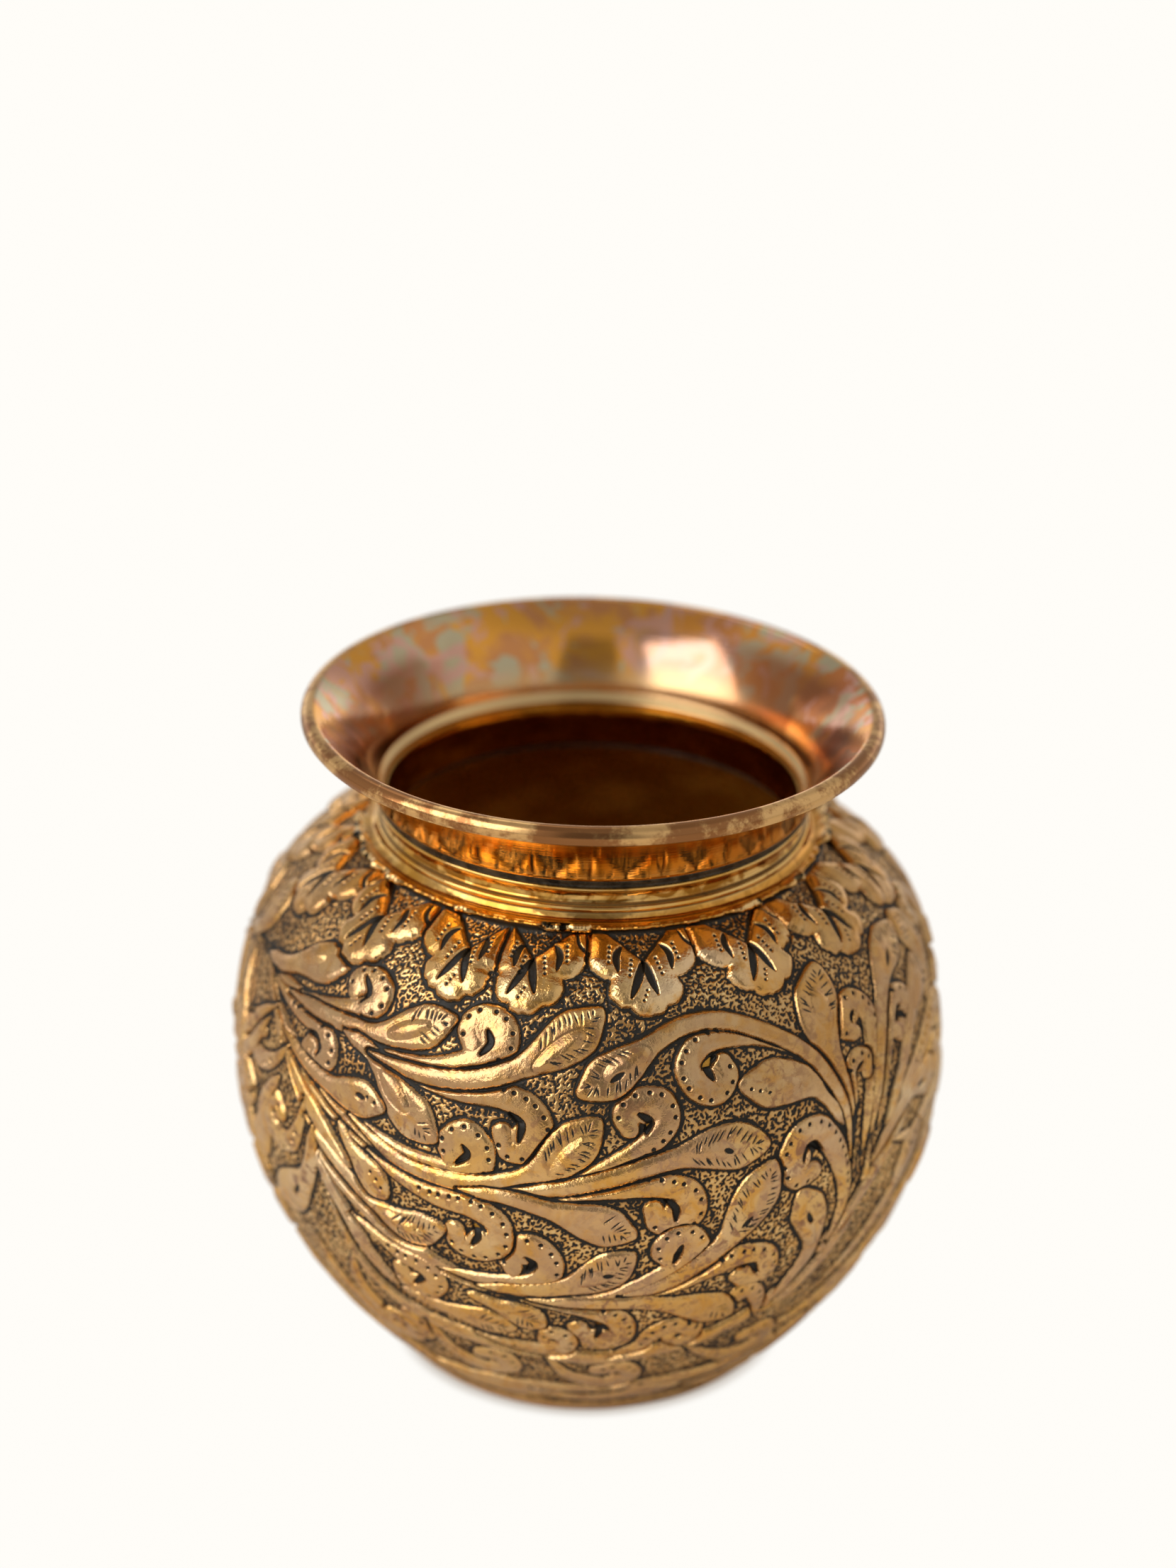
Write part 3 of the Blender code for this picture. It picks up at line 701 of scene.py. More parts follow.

# A plain band round the foot with a line over it, and a dark seat under the collar: soot, with painted
# shadow from the collar's edge
FOOT_BAND_RUN = 3.4
FOOT_LINE_RUN = 3.5
COLLAR_SEAT_RUN = 100.9
foot_band = smooth((FOOT_BAND_RUN - row_run) / 0.6)[:, None]
height = height * (1 - foot_band) - 0.10 * foot_band
patina = patina * (1 - foot_band)
raised = np.maximum(raised, foot_band)
foot_line = smooth(1.2 - np.abs(row_run - FOOT_LINE_RUN) / 0.35)[:, None]
height = height - 0.25 * foot_line
patina = np.maximum(patina, foot_line)
# soot, and painted shadow under the collar's edge
soot_and_collar_shadow = smooth((row_run - COLLAR_SEAT_RUN) / 0.8)[:, None]
patina = np.maximum(patina, 0.85 * soot_and_collar_shadow)
height = height * (1 - soot_and_collar_shadow) - 0.25 * soot_and_collar_shadow
height = height + 0.10 * cloud(13.0, 31) + 0.05 * cloud(5.0, 32) + 0.05 * raised * cloud(2.4, 33)


# ---------------------------------------------------------------- meshes
LEAN_DEGREES = 1.25
LEAN_SHIFT = 0.8
LEAN_START_Z = 58
LEAN_REACH = 36  # mm of height over which the lean sets in


def lean(points):
    """The maker's slight lean: the neck and mouth sit a little to the right and dip that way."""
    z = points[:, 2]
    share = smooth((z - LEAN_START_Z) / LEAN_REACH)
    x = points[:, 0]
    points[:, 2] = z - np.tan(math.radians(LEAN_DEGREES)) * share * x
    points[:, 0] = x + LEAN_SHIFT * share
    return points


def grid_normals(radius, z):
    """Normals of an open grid of (row, column) points that wraps round in columns."""
    angle = np.radians(np.arange(radius.shape[1]) * 360.0 / radius.shape[1])
    p = np.stack([radius * np.sin(angle), -radius * np.cos(angle), z], axis=2)
    p = lean(p.reshape(-1, 3)).reshape(p.shape)
    across = np.roll(p, -1, axis=1) - np.roll(p, 1, axis=1)
    up = np.gradient(p, axis=0)
    n = np.cross(across, up)
    return n / np.linalg.norm(n, axis=2, keepdims=True)


SHARP_CORNER = 45  # degrees


def ring_mesh(name, radius, z, material, values=None, normals=None, closed=True):
    """A solid body from a grid of (radius, z) rows. closed joins the last row to the first, and
    otherwise fans close the first and last rows on the axis. values are written as attributes."""
    rows, columns = radius.shape
    angle = np.radians(np.arange(columns) * 360.0 / columns)
    points = np.stack([radius * np.sin(angle), -radius * np.cos(angle), z], axis=2).reshape(-1, 3)
    steps = rows if closed else rows - 1
    i = np.arange(steps)[:, None]
    j = np.arange(columns)[None, :]
    near, far = i * columns, ((i + 1) % rows) * columns
    after = (j + 1) % columns
    quads = np.stack(np.broadcast_arrays(near + j, near + after, far + after, far + j), axis=2)
    quads = quads.reshape(-1, 4)
    loops = quads.ravel()
    starts = np.arange(len(quads)) * 4
    sizes = np.full(len(quads), 4)
    v_low = np.broadcast_to(i / steps, (steps, columns))
    v_high = np.broadcast_to((i + 1) / steps, (steps, columns))
    u_low = np.broadcast_to(j / columns, (steps, columns))
    u_high = np.broadcast_to((j + 1) / columns, (steps, columns))
    uv = np.stack([
        np.stack([u_low, v_low], 2), np.stack([u_high, v_low], 2),
        np.stack([u_high, v_high], 2), np.stack([u_low, v_high], 2),
    ], axis=2).reshape(-1, 2)
    if not closed:
        poles = len(points) + np.arange(2)
        points = np.vstack([points, [[0, 0, z[0, 0]], [0, 0, z[-1, 0]]]])
        first, last = np.arange(columns), (rows - 1) * columns + np.arange(columns)
        fan_a = np.stack([np.full(columns, poles[0]), np.roll(first, -1), first], 1)
        fan_b = np.stack([np.full(columns, poles[1]), last, np.roll(last, -1)], 1)
        fans = np.vstack([fan_a, fan_b])
        loops = np.concatenate([loops, fans.ravel()])
        starts = np.concatenate([starts, len(quads) * 4 + np.arange(len(fans)) * 3])
        sizes = np.concatenate([sizes, np.full(len(fans), 3)])
        flat = points[fans.ravel(), :2] / (2.2 * np.abs(points[:, :2]).max())
        flat[:, 0] = flat[:, 0] * 0.4 + 0.25
        flat[len(flat) // 2:, 0] += 0.5
        flat[:, 1] = flat[:, 1] * 0.4 + 0.25
        uv[:, 1] = 0.55 + 0.44 * uv[:, 1]
        uv = np.vstack([uv, flat])
    points = lean(points.astype(float)) * MM
    mesh = bpy.data.meshes.new(name)
    mesh.vertices.add(len(points))
    mesh.vertices.foreach_set("co", points.astype(np.float32).ravel())
    mesh.loops.add(len(loops))
    mesh.loops.foreach_set("vertex_index", loops.astype(np.int32))
    mesh.polygons.add(len(starts))
    mesh.polygons.foreach_set("loop_start", starts.astype(np.int32))
    mesh.polygons.foreach_set("loop_total", sizes.astype(np.int32))
    layer = mesh.uv_layers.new(name="OFBake")
    layer.data.foreach_set("uv", np.clip(uv, 0, 1).astype(np.float32).ravel())
    mesh.update(calc_edges=True)
    mesh.validate()
    mesh.shade_smooth()
    for key, value in (values or {}).items():
        attribute = mesh.attributes.new(key, "FLOAT", "POINT")
        full = np.broadcast_to(value, radius.shape).astype(np.float32).ravel()
        full = np.concatenate([full, np.zeros(len(points) - len(full), np.float32)])
        attribute.data.foreach_set("value", full)
    if normals is not None:
        mesh.normals_split_custom_set_from_vertices(normals.reshape(-1, 3).tolist())
    else:
        mesh.set_sharp_from_angle(angle=math.radians(SHARP_CORNER))
    mesh.materials.append(material)
    piece = bpy.data.objects.new(name, mesh)
    bpy.context.scene.collection.objects.link(piece)
    return piece


def turned(name, outline, material, columns=384, values=None, wobble=0.0, seed=1, closed=True):
    """A piece turned from a closed (radius, z) outline, with a little of the maker's unevenness. The
    outline runs up its outer side and down its inner side, so that the faces point outwards."""
    outline = np.array(outline, float)
    angle = np.arange(columns) * 360.0 / columns
    draw = np.random.default_rng(seed)
    wave = sum(
        draw.normal() / n * np.sin(np.radians(angle * n + draw.uniform(0, 360))) for n in range(2, 9)
    )
    radius = outline[:, :1] + wobble * wave[None, :]
    z = outline[:, 1:] + wobble * 0.6 * np.roll(wave, columns // 5)[None, :]
    spread = {key: np.array(value)[:, None] for key, value in (values or {}).items()}
    return ring_mesh(name, radius, z, material, spread, closed=closed)


def arc(centre, radius, start, end, steps):
    """Points along a circle, from one angle to another."""
    a = np.radians(np.linspace(start, end, steps))
    return np.column_stack([centre[0] + radius * np.cos(a), centre[1] + radius * np.sin(a)])


# ---------------------------------------------------------------- materials
class Nodes:
    """Short names for the nodes of one node tree."""

    def __init__(self, tree):
        self.tree = tree

    def node(self, kind, **settings):
        made = self.tree.nodes.new(kind)
        for key, value in settings.items():
            setattr(made, key, value)
        return made

    def feed(self, socket, value):
        if isinstance(value, bpy.types.NodeSocket):
            self.tree.links.new(value, socket)
        else:
            socket.default_value = value

    def math(self, operation, a, b=0.0, clamp=False):
        made = self.node("ShaderNodeMath", operation=operation, use_clamp=clamp)
        self.feed(made.inputs[0], a)
        self.feed(made.inputs[1], b)
        return made.outputs[0]

    def plus(self, a, b, clamp=False):
        return self.math("ADD", a, b, clamp)

    def minus(self, a, b, clamp=False):
        return self.math("SUBTRACT", a, b, clamp)

    def times(self, a, b):
        return self.math("MULTIPLY", a, b)

    def ramp(self, value, low, high, out_low=0.0, out_high=1.0, kind="SMOOTHSTEP"):
        made = self.node("ShaderNodeMapRange", interpolation_type=kind)
        for socket, number in zip(made.inputs[1:5], (low, high, out_low, out_high)):
            socket.default_value = number
        self.feed(made.inputs[0], value)
        return made.outputs[0]

    def mix(self, share, a, b):
        made = self.node("ShaderNodeMix", data_type="RGBA")
        self.feed(made.inputs[0], share)
        for socket, value in ((made.inputs[6], a), (made.inputs[7], b)):
            self.feed(socket, value if isinstance(value, bpy.types.NodeSocket) else (*value, 1.0))
        return made.outputs[2]

    def axes(self, place):
        made = self.node("ShaderNodeSeparateXYZ")
        self.feed(made.inputs[0], place)
        return made.outputs

    def camera_sees(self, seen, otherwise, output):
        """One shader for the camera's own rays and another for light and reflections."""
        mixer = self.node("ShaderNodeMixShader")
        self.feed(mixer.inputs[0], self.node("ShaderNodeLightPath").outputs["Is Camera Ray"])
        self.feed(mixer.inputs[1], otherwise.outputs[0])
        self.feed(mixer.inputs[2], seen.outputs[0])
        self.feed(self.node(output).inputs["Surface"], mixer.outputs[0])


class Surface(Nodes):
    """A node material with one Principled shader. Its patterns lie in the pot's own metres."""

    def __init__(self, name):
        self.material = bpy.data.materials.new(name)
        self.material.use_nodes = True
        super().__init__(self.material.node_tree)
        self.shader = self.tree.nodes["Principled BSDF"]
        self.place = self.node("ShaderNodeTexCoord").outputs["Object"]

    def attribute(self, name):
        return self.node("ShaderNodeAttribute", attribute_name=name).outputs["Fac"]

    def noise(self, scale, detail=3.0, rough=0.55, stretch=None, distortion=0.0):
        made = self.node("ShaderNodeTexNoise")
        place = self.place
        if stretch:
            mapping = self.node("ShaderNodeMapping")
            mapping.inputs["Scale"].default_value = stretch
            self.feed(mapping.inputs["Vector"], place)
            place = mapping.outputs[0]
        self.feed(made.inputs["Vector"], place)
        made.inputs["Scale"].default_value = scale
        made.inputs["Detail"].default_value = detail
        made.inputs["Roughness"].default_value = rough
        made.inputs["Distortion"].default_value = distortion
        return made.outputs["Fac"]

    def bump(self, value, strength, distance):
        made = self.node("ShaderNodeBump")
        made.inputs["Strength"].default_value = strength
        made.inputs["Distance"].default_value = distance
        self.feed(made.inputs["Height"], value)
        self.feed(self.shader.inputs["Normal"], made.outputs[0])

    def finish(self, colour, roughness, metallic=1.0):
        self.feed(self.shader.inputs["Base Color"], colour)
        self.feed(self.shader.inputs["Roughness"], roughness)
        self.feed(self.shader.inputs["Metallic"], metallic)
        return self.material


PALE_GOLD = (0.96, 0.72, 0.44)
GOLD = (0.90, 0.59, 0.24)
AMBER = (0.82, 0.40, 0.06)
DEEP_AMBER = (0.86, 0.45, 0.10)
GROUND_GOLD = (0.86, 0.50, 0.17)
GROUND_PALE = (1.0, 0.72, 0.34)
GROUND_BROWN = (0.42, 0.19, 0.05)
PINK_BROWN = (0.34, 0.17, 0.11)
VEIL = (0.66, 0.42, 0.25)
FOOT_BRONZE = (0.58, 0.32, 0.11)
PAINTED_SHADE_BRONZE = (0.42, 0.23, 0.10)
SOOT = (0.012, 0.010, 0.007)


def chased_brass(name):
    """The body: brown tarnish and a thin veil on the gold, soot in the recesses, painted shade on the
    shoulder, a painted amber reflection of the collar on the petals' tops, and a dim inside with painted
    golden glints.
    """
    s = Surface(name)
    x, _, z = s.axes(s.place)
    dark, high, inside = s.attribute("patina"), s.attribute("raised"), s.attribute("inside")
    blotch = s.noise(70, 4)
    fine = s.noise(900, 3, 0.65)
    speck = s.noise(620, 5, 0.7, distortion=0.6)

    # the raised ornament, cleaner on the petals, with a painted amber reflection of the collar on the
    # petals' tops
    gold = s.mix(s.ramp(blotch, 0.35, 0.68), GOLD, PALE_GOLD)
    gold = s.mix(s.ramp(s.noise(130, 4, 0.6, distortion=1.5), 0.46, 0.63, 0, 0.75), gold, AMBER)
    gold = s.mix(s.ramp(s.noise(30, 3), 0.42, 0.60, 0, 0.52), gold, DEEP_AMBER)
    clean = s.ramp(z, 0.0765, 0.0800, 1.0, 0.45)
    patchy = s.ramp(s.noise(45, 3), 0.38, 0.60, 0.30, 1.0)
    tarnish = s.times(s.times(s.ramp(speck, 0.48, 0.61), patchy), clean)
    gold = s.mix(s.times(tarnish, 0.85), gold, PINK_BROWN)
    veil = s.ramp(s.noise(75, 4, 0.6, distortion=0.8), 0.48, 0.62, 0.0, 0.65)
    gold = s.mix(s.times(veil, clean), gold, VEIL)
    gold = s.mix(s.ramp(z, 0.004, 0.046, 0.40, 0.0), gold, FOOT_BRONZE)
    # painted reflection: the amber collar mirrored on the petals' tops, as a colour band
    gold = s.mix(s.ramp(z, 0.0835, 0.0860, 0.0, 0.85), gold, AMBER)

    # the ground, and painted shade on the shoulder, darkest at the sides
    ground = s.mix(s.ramp(fine, 0.35, 0.65), GROUND_GOLD, GROUND_PALE)
    metal = s.mix(high, ground, gold)
    # painted shade: the shoulder band, and the sides above it, are mixed towards a darker bronze
    shoulder = s.times(s.ramp(z, 0.056, 0.067, 0.0, 0.48), s.ramp(z, 0.0765, 0.0800, 1.0, 0.0))
    beside = s.times(s.ramp(s.math("ABSOLUTE", x), 0.020, 0.034, 0.0, 0.50), s.ramp(z, 0.060, 0.070))
    metal = s.mix(s.math("MAXIMUM", shoulder, beside), metal, PAINTED_SHADE_BRONZE)

    # the black in the recesses, with a brown edge
    uneven = s.plus(dark, s.times(s.minus(fine, 0.5), 0.36))
    browned = s.times(s.ramp(uneven, 0.14, 0.46, 0.0, 0.75), s.minus(1.0, high))
    metal = s.mix(browned, metal, GROUND_BROWN)
    sooty = s.ramp(uneven, 0.42, 0.70)
    colour = s.mix(sooty, metal, SOOT)
    # the inside: red-brown metal, with golden streaks painted in as faint glints
    painted_glint_streak = s.ramp(s.noise(38, 4, 0.6, stretch=(1, 1, 2.2)), 0.40, 0.64)
    colour = s.mix(inside, colour, s.mix(painted_glint_streak, (0.46, 0.18, 0.010), (0.86, 0.46, 0.06)))

    rough = s.minus(s.ramp(s.noise(260, 4), 0.3, 0.7, 0.12, 0.26), s.ramp(z, 0.0770, 0.0810, 0.0, 0.06))
    rough = s.plus(rough, s.times(tarnish, 0.14))
    rough = s.plus(rough, s.times(sooty, 0.30))
    rough = s.plus(rough, s.times(s.minus(1.0, high), 0.06), clamp=True)
    metallic = s.minus(1.0, s.times(sooty, 0.85), clamp=True)
    metallic = s.minus(metallic, s.times(inside, 0.55), clamp=True)
    hammered = s.times(s.noise(300, 2), 1.2)
    s.bump(s.plus(s.plus(fine, hammered), s.times(s.noise(3000, 2), 0.4)), 0.28, 0.0004)
    return s.finish(colour, rough, metallic)


NECK_AMBER = (0.77, 0.40, 0.09)
NECK_GOLD = (0.85, 0.51, 0.17)
COPPER = (0.70, 0.31, 0.12)
ORANGE_FILM = (0.90, 0.42, 0.07)
RED_FILM = (0.62, 0.20, 0.08)
GREEN_FILM = (0.56, 0.52, 0.35)
PINK_FILM = (0.78, 0.42, 0.34)
WINDOW_REFLECTION_TINT = (0.43, 0.275, 0.225)
SIDE_BROWN = (0.30, 0.11, 0.045)
THROAT_GOLD = (0.78, 0.50, 0.24)
LIP_GOLD = (0.84, 0.52, 0.22)
LIP_BROWN = (0.36, 0.16, 0.06)


def spun_brass(name):
    """Mouth and neck. zone is 0 outside the neck, 0.5 on the lip and 1 on the flared inside, where
    coloured oxide films lie over copper, with a painted reflection tint at the back right, where the
    window reflects, and a darker brown towards the sides."""
    s = Surface(name)
    zone, throat, inside = s.attribute("zone"), s.attribute("throat"), s.attribute("inside")
    x, y, z = s.axes(s.place)
    neck = s.mix(s.ramp(s.noise(60, 3), 0.35, 0.65), NECK_AMBER, NECK_GOLD)

    film = s.mix(s.ramp(s.noise(95, 4, 0.6, distortion=0.9), 0.42, 0.54), COPPER, ORANGE_FILM)
    to_right = s.times(s.ramp(x, 0.002, 0.036, 0.0, 0.9), s.ramp(s.noise(48, 3), 0.40, 0.60))
    film = s.mix(to_right, film, RED_FILM)
    film = s.mix(s.ramp(s.noise(120, 3, 0.6, distortion=0.8), 0.53, 0.57, 0, 0.9), film, GREEN_FILM)
    film = s.mix(s.ramp(s.noise(150, 3, 0.6, distortion=1.4), 0.54, 0.58, 0, 0.8), film, PINK_FILM)
    # painted reflection: a window-shaped patch at the back right, where the window reflects, tinted dull
    # pink-brown
    window_reflection_patch = s.times(s.ramp(x, 0.006, 0.009), s.ramp(x, 0.027, 0.021))
    window_reflection_patch = s.times(window_reflection_patch, s.ramp(z, 0.1038, 0.1020))
    film = s.mix(s.times(window_reflection_patch, s.ramp(y, 0.020, 0.026, 0.0, 0.75)), film, WINDOW_REFLECTION_TINT)
    low_in = s.ramp(z, 0.0950, 0.0995, 1.0, 0.0)
    film = s.mix(s.times(low_in, 0.85), film, THROAT_GOLD)
    # darker brown, in patches, towards the funnel's left and right sides
    flank = s.times(s.ramp(s.math("ABSOLUTE", x), 0.018, 0.030), s.ramp(s.noise(62, 4), 0.38, 0.52))
    film = s.mix(s.times(flank, s.ramp(z, 0.1050, 0.1020, 0.0, 0.88)), film, SIDE_BROWN)

    lip = s.mix(s.ramp(s.noise(85, 6, 0.72), 0.42, 0.54), LIP_GOLD, LIP_BROWN)
    inner = s.ramp(zone, 0.70, 0.95)
    rolled = s.minus(s.ramp(zone, 0.15, 0.45), inner, clamp=True)
    colour = s.mix(inner, neck, film)
    colour = s.mix(rolled, colour, lip)
    colour = s.mix(throat, colour, (0.80, 0.56, 0.27))
    colour = s.mix(inside, colour, (0.40, 0.21, 0.05))

    rough = s.plus(s.ramp(s.noise(140, 4), 0.3, 0.7, 0.04, 0.09), s.times(inner, 0.05))
    rough = s.plus(rough, s.times(s.times(low_in, inner), 0.10))
    rough = s.plus(rough, s.times(inside, 0.15))
    rough = s.plus(rough, s.times(rolled, 0.12), clamp=True)
    spin_lines = s.noise(1.0, 2, 0.6, stretch=(8, 8, 3600))
    s.bump(s.plus(spin_lines, s.times(s.noise(55, 2), 5.0)), 0.07, 0.0003)
    return s.finish(colour, rough)


def turned_brass(name):
    """The collar: bright beads, a cove with painted dark reflection patches, a flare with a painted orange
    reflection of the petals, and a ragged foot edge with a painted highlight on its flaps.
    """
    s = Surface(name)
    dark, inside, flap_highlight = s.attribute("patina"), s.attribute("inside"), s.attribute("edge")
    z = s.axes(s.place)[2]
    colour = s.mix(s.ramp(s.noise(95, 3), 0.36, 0.64), (0.82, 0.44, 0.08), (0.92, 0.60, 0.22))
    colour = s.mix(s.ramp(s.noise(380, 4, 0.65), 0.54, 0.70, 0.0, 0.6), colour, (0.32, 0.16, 0.07))
    # painted reflection: deeper orange on the lower flare, where the petals below are mirrored
    colour = s.mix(s.ramp(z, 0.0866, 0.0876, 0.80, 0.0), colour, (0.80, 0.36, 0.05))
    # painted reflection: dark cloudy patches on the cove and flare, for the contrast of what they mirror
    cloud_noise = s.noise(1.0, 4, 0.6, stretch=(250, 250, 330), distortion=0.8)
    painted_reflection_dark = s.times(s.attribute("cove"), s.ramp(cloud_noise, 0.43, 0.57, 0.10, 1.0))
    colour = s.mix(painted_reflection_dark, colour, (0.36, 0.15, 0.02))
    # painted highlight: pale gold along the flaps' rim, with soot pits speckled in it
    colour = s.mix(flap_highlight, colour, (0.92, 0.62, 0.28))
    colour = s.mix(s.times(flap_highlight, s.ramp(s.noise(520, 4), 0.50, 0.57)), colour, SOOT)
    colour = s.mix(dark, colour, SOOT)
    colour = s.mix(inside, colour, (0.42, 0.19, 0.02))
    rough = s.plus(s.ramp(s.noise(210, 3), 0.3, 0.7, 0.07, 0.15), s.times(dark, 0.35), clamp=True)
    turning_lines = s.noise(1.0, 2, 0.6, stretch=(6, 6, 6500))
    s.bump(s.plus(s.times(turning_lines, 0.06), s.times(s.noise(130, 3), 6.0)), 0.12, 0.0003)
    return s.finish(colour, rough, s.minus(1.0, s.times(dark, 0.8)))


def dull_metal(name, first, second, rough_low, rough_high, metallic):
    """A plain grainy metal between two colours, for the base, the solder and the hidden parts."""
    s = Surface(name)
    colour = s.mix(s.ramp(s.noise(420, 4, 0.65), 0.35, 0.65), first, second)
    s.bump(s.noise(700, 3), 0.35, 0.0003)
    return s.finish(colour, s.ramp(s.noise(150, 3), 0.3, 0.7, rough_low, rough_high), metallic)


SOLDER_BLACK = (0.020, 0.019, 0.018)
SOLDER_GREY = (0.085, 0.075, 0.060)
SHADE_DARK_BROWN = (0.030, 0.013, 0.003)
body_metal = chased_brass("chased_body_brass")
mouth_metal = spun_brass("spun_mouth_brass")
collar_metal = turned_brass("turned_collar_brass")
base_metal = dull_metal("aged_base_brass", (0.34, 0.19, 0.07), (0.52, 0.33, 0.13), 0.34, 0.55, 1.0)
solder_metal = dull_metal("blackened_solder", SOLDER_BLACK, SOLDER_GREY, 0.22, 0.42, 0.7)
braze_metal = dull_metal("seam_braze", (0.42, 0.15, 0.010), (0.60, 0.24, 0.02), 0.40, 0.60, 0.6)
# painted shade: the solder inside the neck is darkened to near-black brown so that it sinks into the shadow
# there
shade_dark_solder = dull_metal("solder_inside_neck", SHADE_DARK_BROWN, (0.060, 0.026, 0.005), 0.55, 0.75, 0.3)
steel_metal = dull_metal("lip_wire_steel", (0.20, 0.19, 0.18), (0.34, 0.30, 0.26), 0.35, 0.55, 1.0)


# ---------------------------------------------------------------- body, in two shells
tangent = np.gradient(np.column_stack([row_radius, row_z]), axis=0)
tangent /= np.hypot(*tangent.T)[:, None]
out_r, out_z = tangent[:, 1], -tangent[:, 0]
outer_radius = row_radius[:, None] + out_r[:, None] * height
outer_z = row_z[:, None] + out_z[:, None] * height
flat_foot = smooth((1.2 - row_run) / 1.2)[:, None]
outer_z = np.maximum(outer_z * (1 - flat_foot) + row_z[:, None] * flat_foot, 0.0)
outer_normals = grid_normals(outer_radius, outer_z)


def shell(name, first, last, inner_outline, node):
    """One half of the body: the chased outside, and a smooth inside that follows it."""
    inner = np.array(inner_outline, float)
    inner_r = inner[:, :1] + 0.10 * cloud(9.0, 41, np.linspace(2, 40, len(inner)))
    inner_z = np.repeat(inner[:, 1:], COLUMNS, axis=1)
    inner_r[0], inner_r[-1] = inner[0, 0], inner[-1, 0]
    radius = np.vstack([outer_radius[first:last], inner_r])
    z = np.vstack([outer_z[first:last], inner_z])
    zeros = np.zeros_like(inner_r)
    values = {
        "patina": np.vstack([patina[first:last], zeros]),
        "raised": np.vstack([raised[first:last], zeros]),
        "inside": np.vstack([np.zeros_like(patina[first:last]), zeros + 1]),
    }
    normals = np.concatenate([outer_normals[first:last], grid_normals(inner_r, inner_z)])
    piece = ring_mesh(name, radius, z, body_metal, values, normals=normals)
    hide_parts(node)
    return piece


LINER_STEP = 6  # the smooth inside needs only every sixth row
inner_body = np.column_stack([row_radius - out_r * WALL, row_z - out_z * WALL])
foot_bore = solder_high.x + 0.05
bowl_inside = inner_body[rows_below:0:-LINER_STEP]
bowl_inside = bowl_inside[bowl_inside[:, 1] > disc_high.z + 0.6]
bowl_inside[0] = (BELLY_R - WALL, BELLY_Z)
foot_step = [(foot_bore + 0.25, disc_high.z + 0.25), (foot_bore, disc_high.z), (foot_bore, 0.0)]
bowl_inside = np.vstack([bowl_inside, foot_step])
shoulder_inside = inner_body[:rows_below - 1:-LINER_STEP].copy()
shoulder_inside[0] = (COLLAR_R - 0.25, SHOULDER_Z - WALL)
shoulder_inside[-1] = (BELLY_R - WALL, BELLY_Z)
pieces = [
    shell("chased_bowl", 0, rows_below + 1, bowl_inside, "bowl_shell"),
    shell("chased_shoulder", rows_below, ROWS, shoulder_inside, "shoulder_shell"),
]

# ---------------------------------------------------------------- mouth and neck, one spun sheet
THROAT_R = 31.6
NECK_R = neck_high.x + 0.1
NECK_FOOT = neck_high.z + 0.08
SHEET = 0.65
flare_inside = cubic((32.75, 93.95), (33.3, 98.2), (37.2, 102.9), (LIP_R - 0.95, LIP_Z + 1.16), 34)
lip_top = arc((LIP_R, LIP_Z), LIP_BEAD, 128, -22, 22)
lip_notch = arc((LIP_R, LIP_Z), LIP_BEAD - 0.24, -28, -34, 3)
lip_hem = arc((LIP_R, LIP_Z), LIP_BEAD - 0.05, -42, -165, 14)
roll_inside = arc((LIP_R, LIP_Z), LIP_BEAD - SHEET, -165, 128, 14)
under = cubic((LIP_R - 1.35, LIP_Z + 0.05), (38.1, 101.6), (NECK_R + 0.85, 97.6), (NECK_R, NECK_FOOT), 28)
throat = spline([(THROAT_R + 0.25, mouth_low.z), (THROAT_R + 0.1, 92.3), (THROAT_R, 92.7),
                  (THROAT_R + 0.15, 93.2), (32.25, 93.55), (32.75, 93.95)], 4)
foot = [(NECK_R - 0.15, NECK_FOOT - 0.12), (32.3, NECK_FOOT - 0.1), (32.3, mouth_low.z)]
mouth_parts = [
    (throat[:-1], 1.0, 1.0), (flare_inside, 1.0, 0.0), (lip_top[1:], 0.5, 0.0), (lip_notch, 0.5, 0.0),
    (lip_hem, 0.5, 0.0), (roll_inside, 0.5, 0.0), (under, 0.0, 0.0), (np.array(foot), 0.0, 0.0),
]  # points, zone, throat
LIP_BLEND = 8  # points over which the flare's colour gives way to the lip's
DIM_ROWS = 7  # points at the throat's foot that darken towards the body's inside
mouth_outline = np.vstack([part for part, _, _ in mouth_parts])
mouth_zone = np.concatenate([np.full(len(part), zone) for part, zone, _ in mouth_parts])
lip_start = len(throat) - 1 + len(flare_inside)
mouth_zone[lip_start:lip_start + LIP_BLEND] = np.linspace(1.0, 0.5, LIP_BLEND)
mouth_throat = np.concatenate([np.full(len(part), share) for part, _, share in mouth_parts])
mouth_inside = np.zeros(len(mouth_outline))
mouth_inside[:DIM_ROWS] = np.linspace(1, 0, DIM_ROWS)
mouth = turned(
    "spun_mouth", mouth_outline[::-1], mouth_metal, 512,
    {"zone": mouth_zone[::-1], "throat": mouth_throat[::-1], "inside": mouth_inside[::-1]},
    wobble=0.07, seed=3,
)
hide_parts("mouth_funnel")

wire = turned("lip_wire_core", arc((LIP_R, LIP_Z), 0.55, 0, 340, 18), steel_metal, 256)
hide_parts("lip_wire")

neck_line = spline([
    (32.50, collar_high.z + 0.2), (32.95, 91.95), (33.05, 92.4), (33.22, 92.9), (33.30, NECK_FOOT),
], 4)
neck_line_back = [(32.35, NECK_FOOT), (32.35, 92.5), (31.8, 92.5), (31.8, collar_high.z - 0.05)]
neck_solder = turned(
    "neck_solder_line", np.vstack([neck_line, neck_line_back]), solder_metal, wobble=0.05, seed=4,
)
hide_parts("neck_solder_ring")

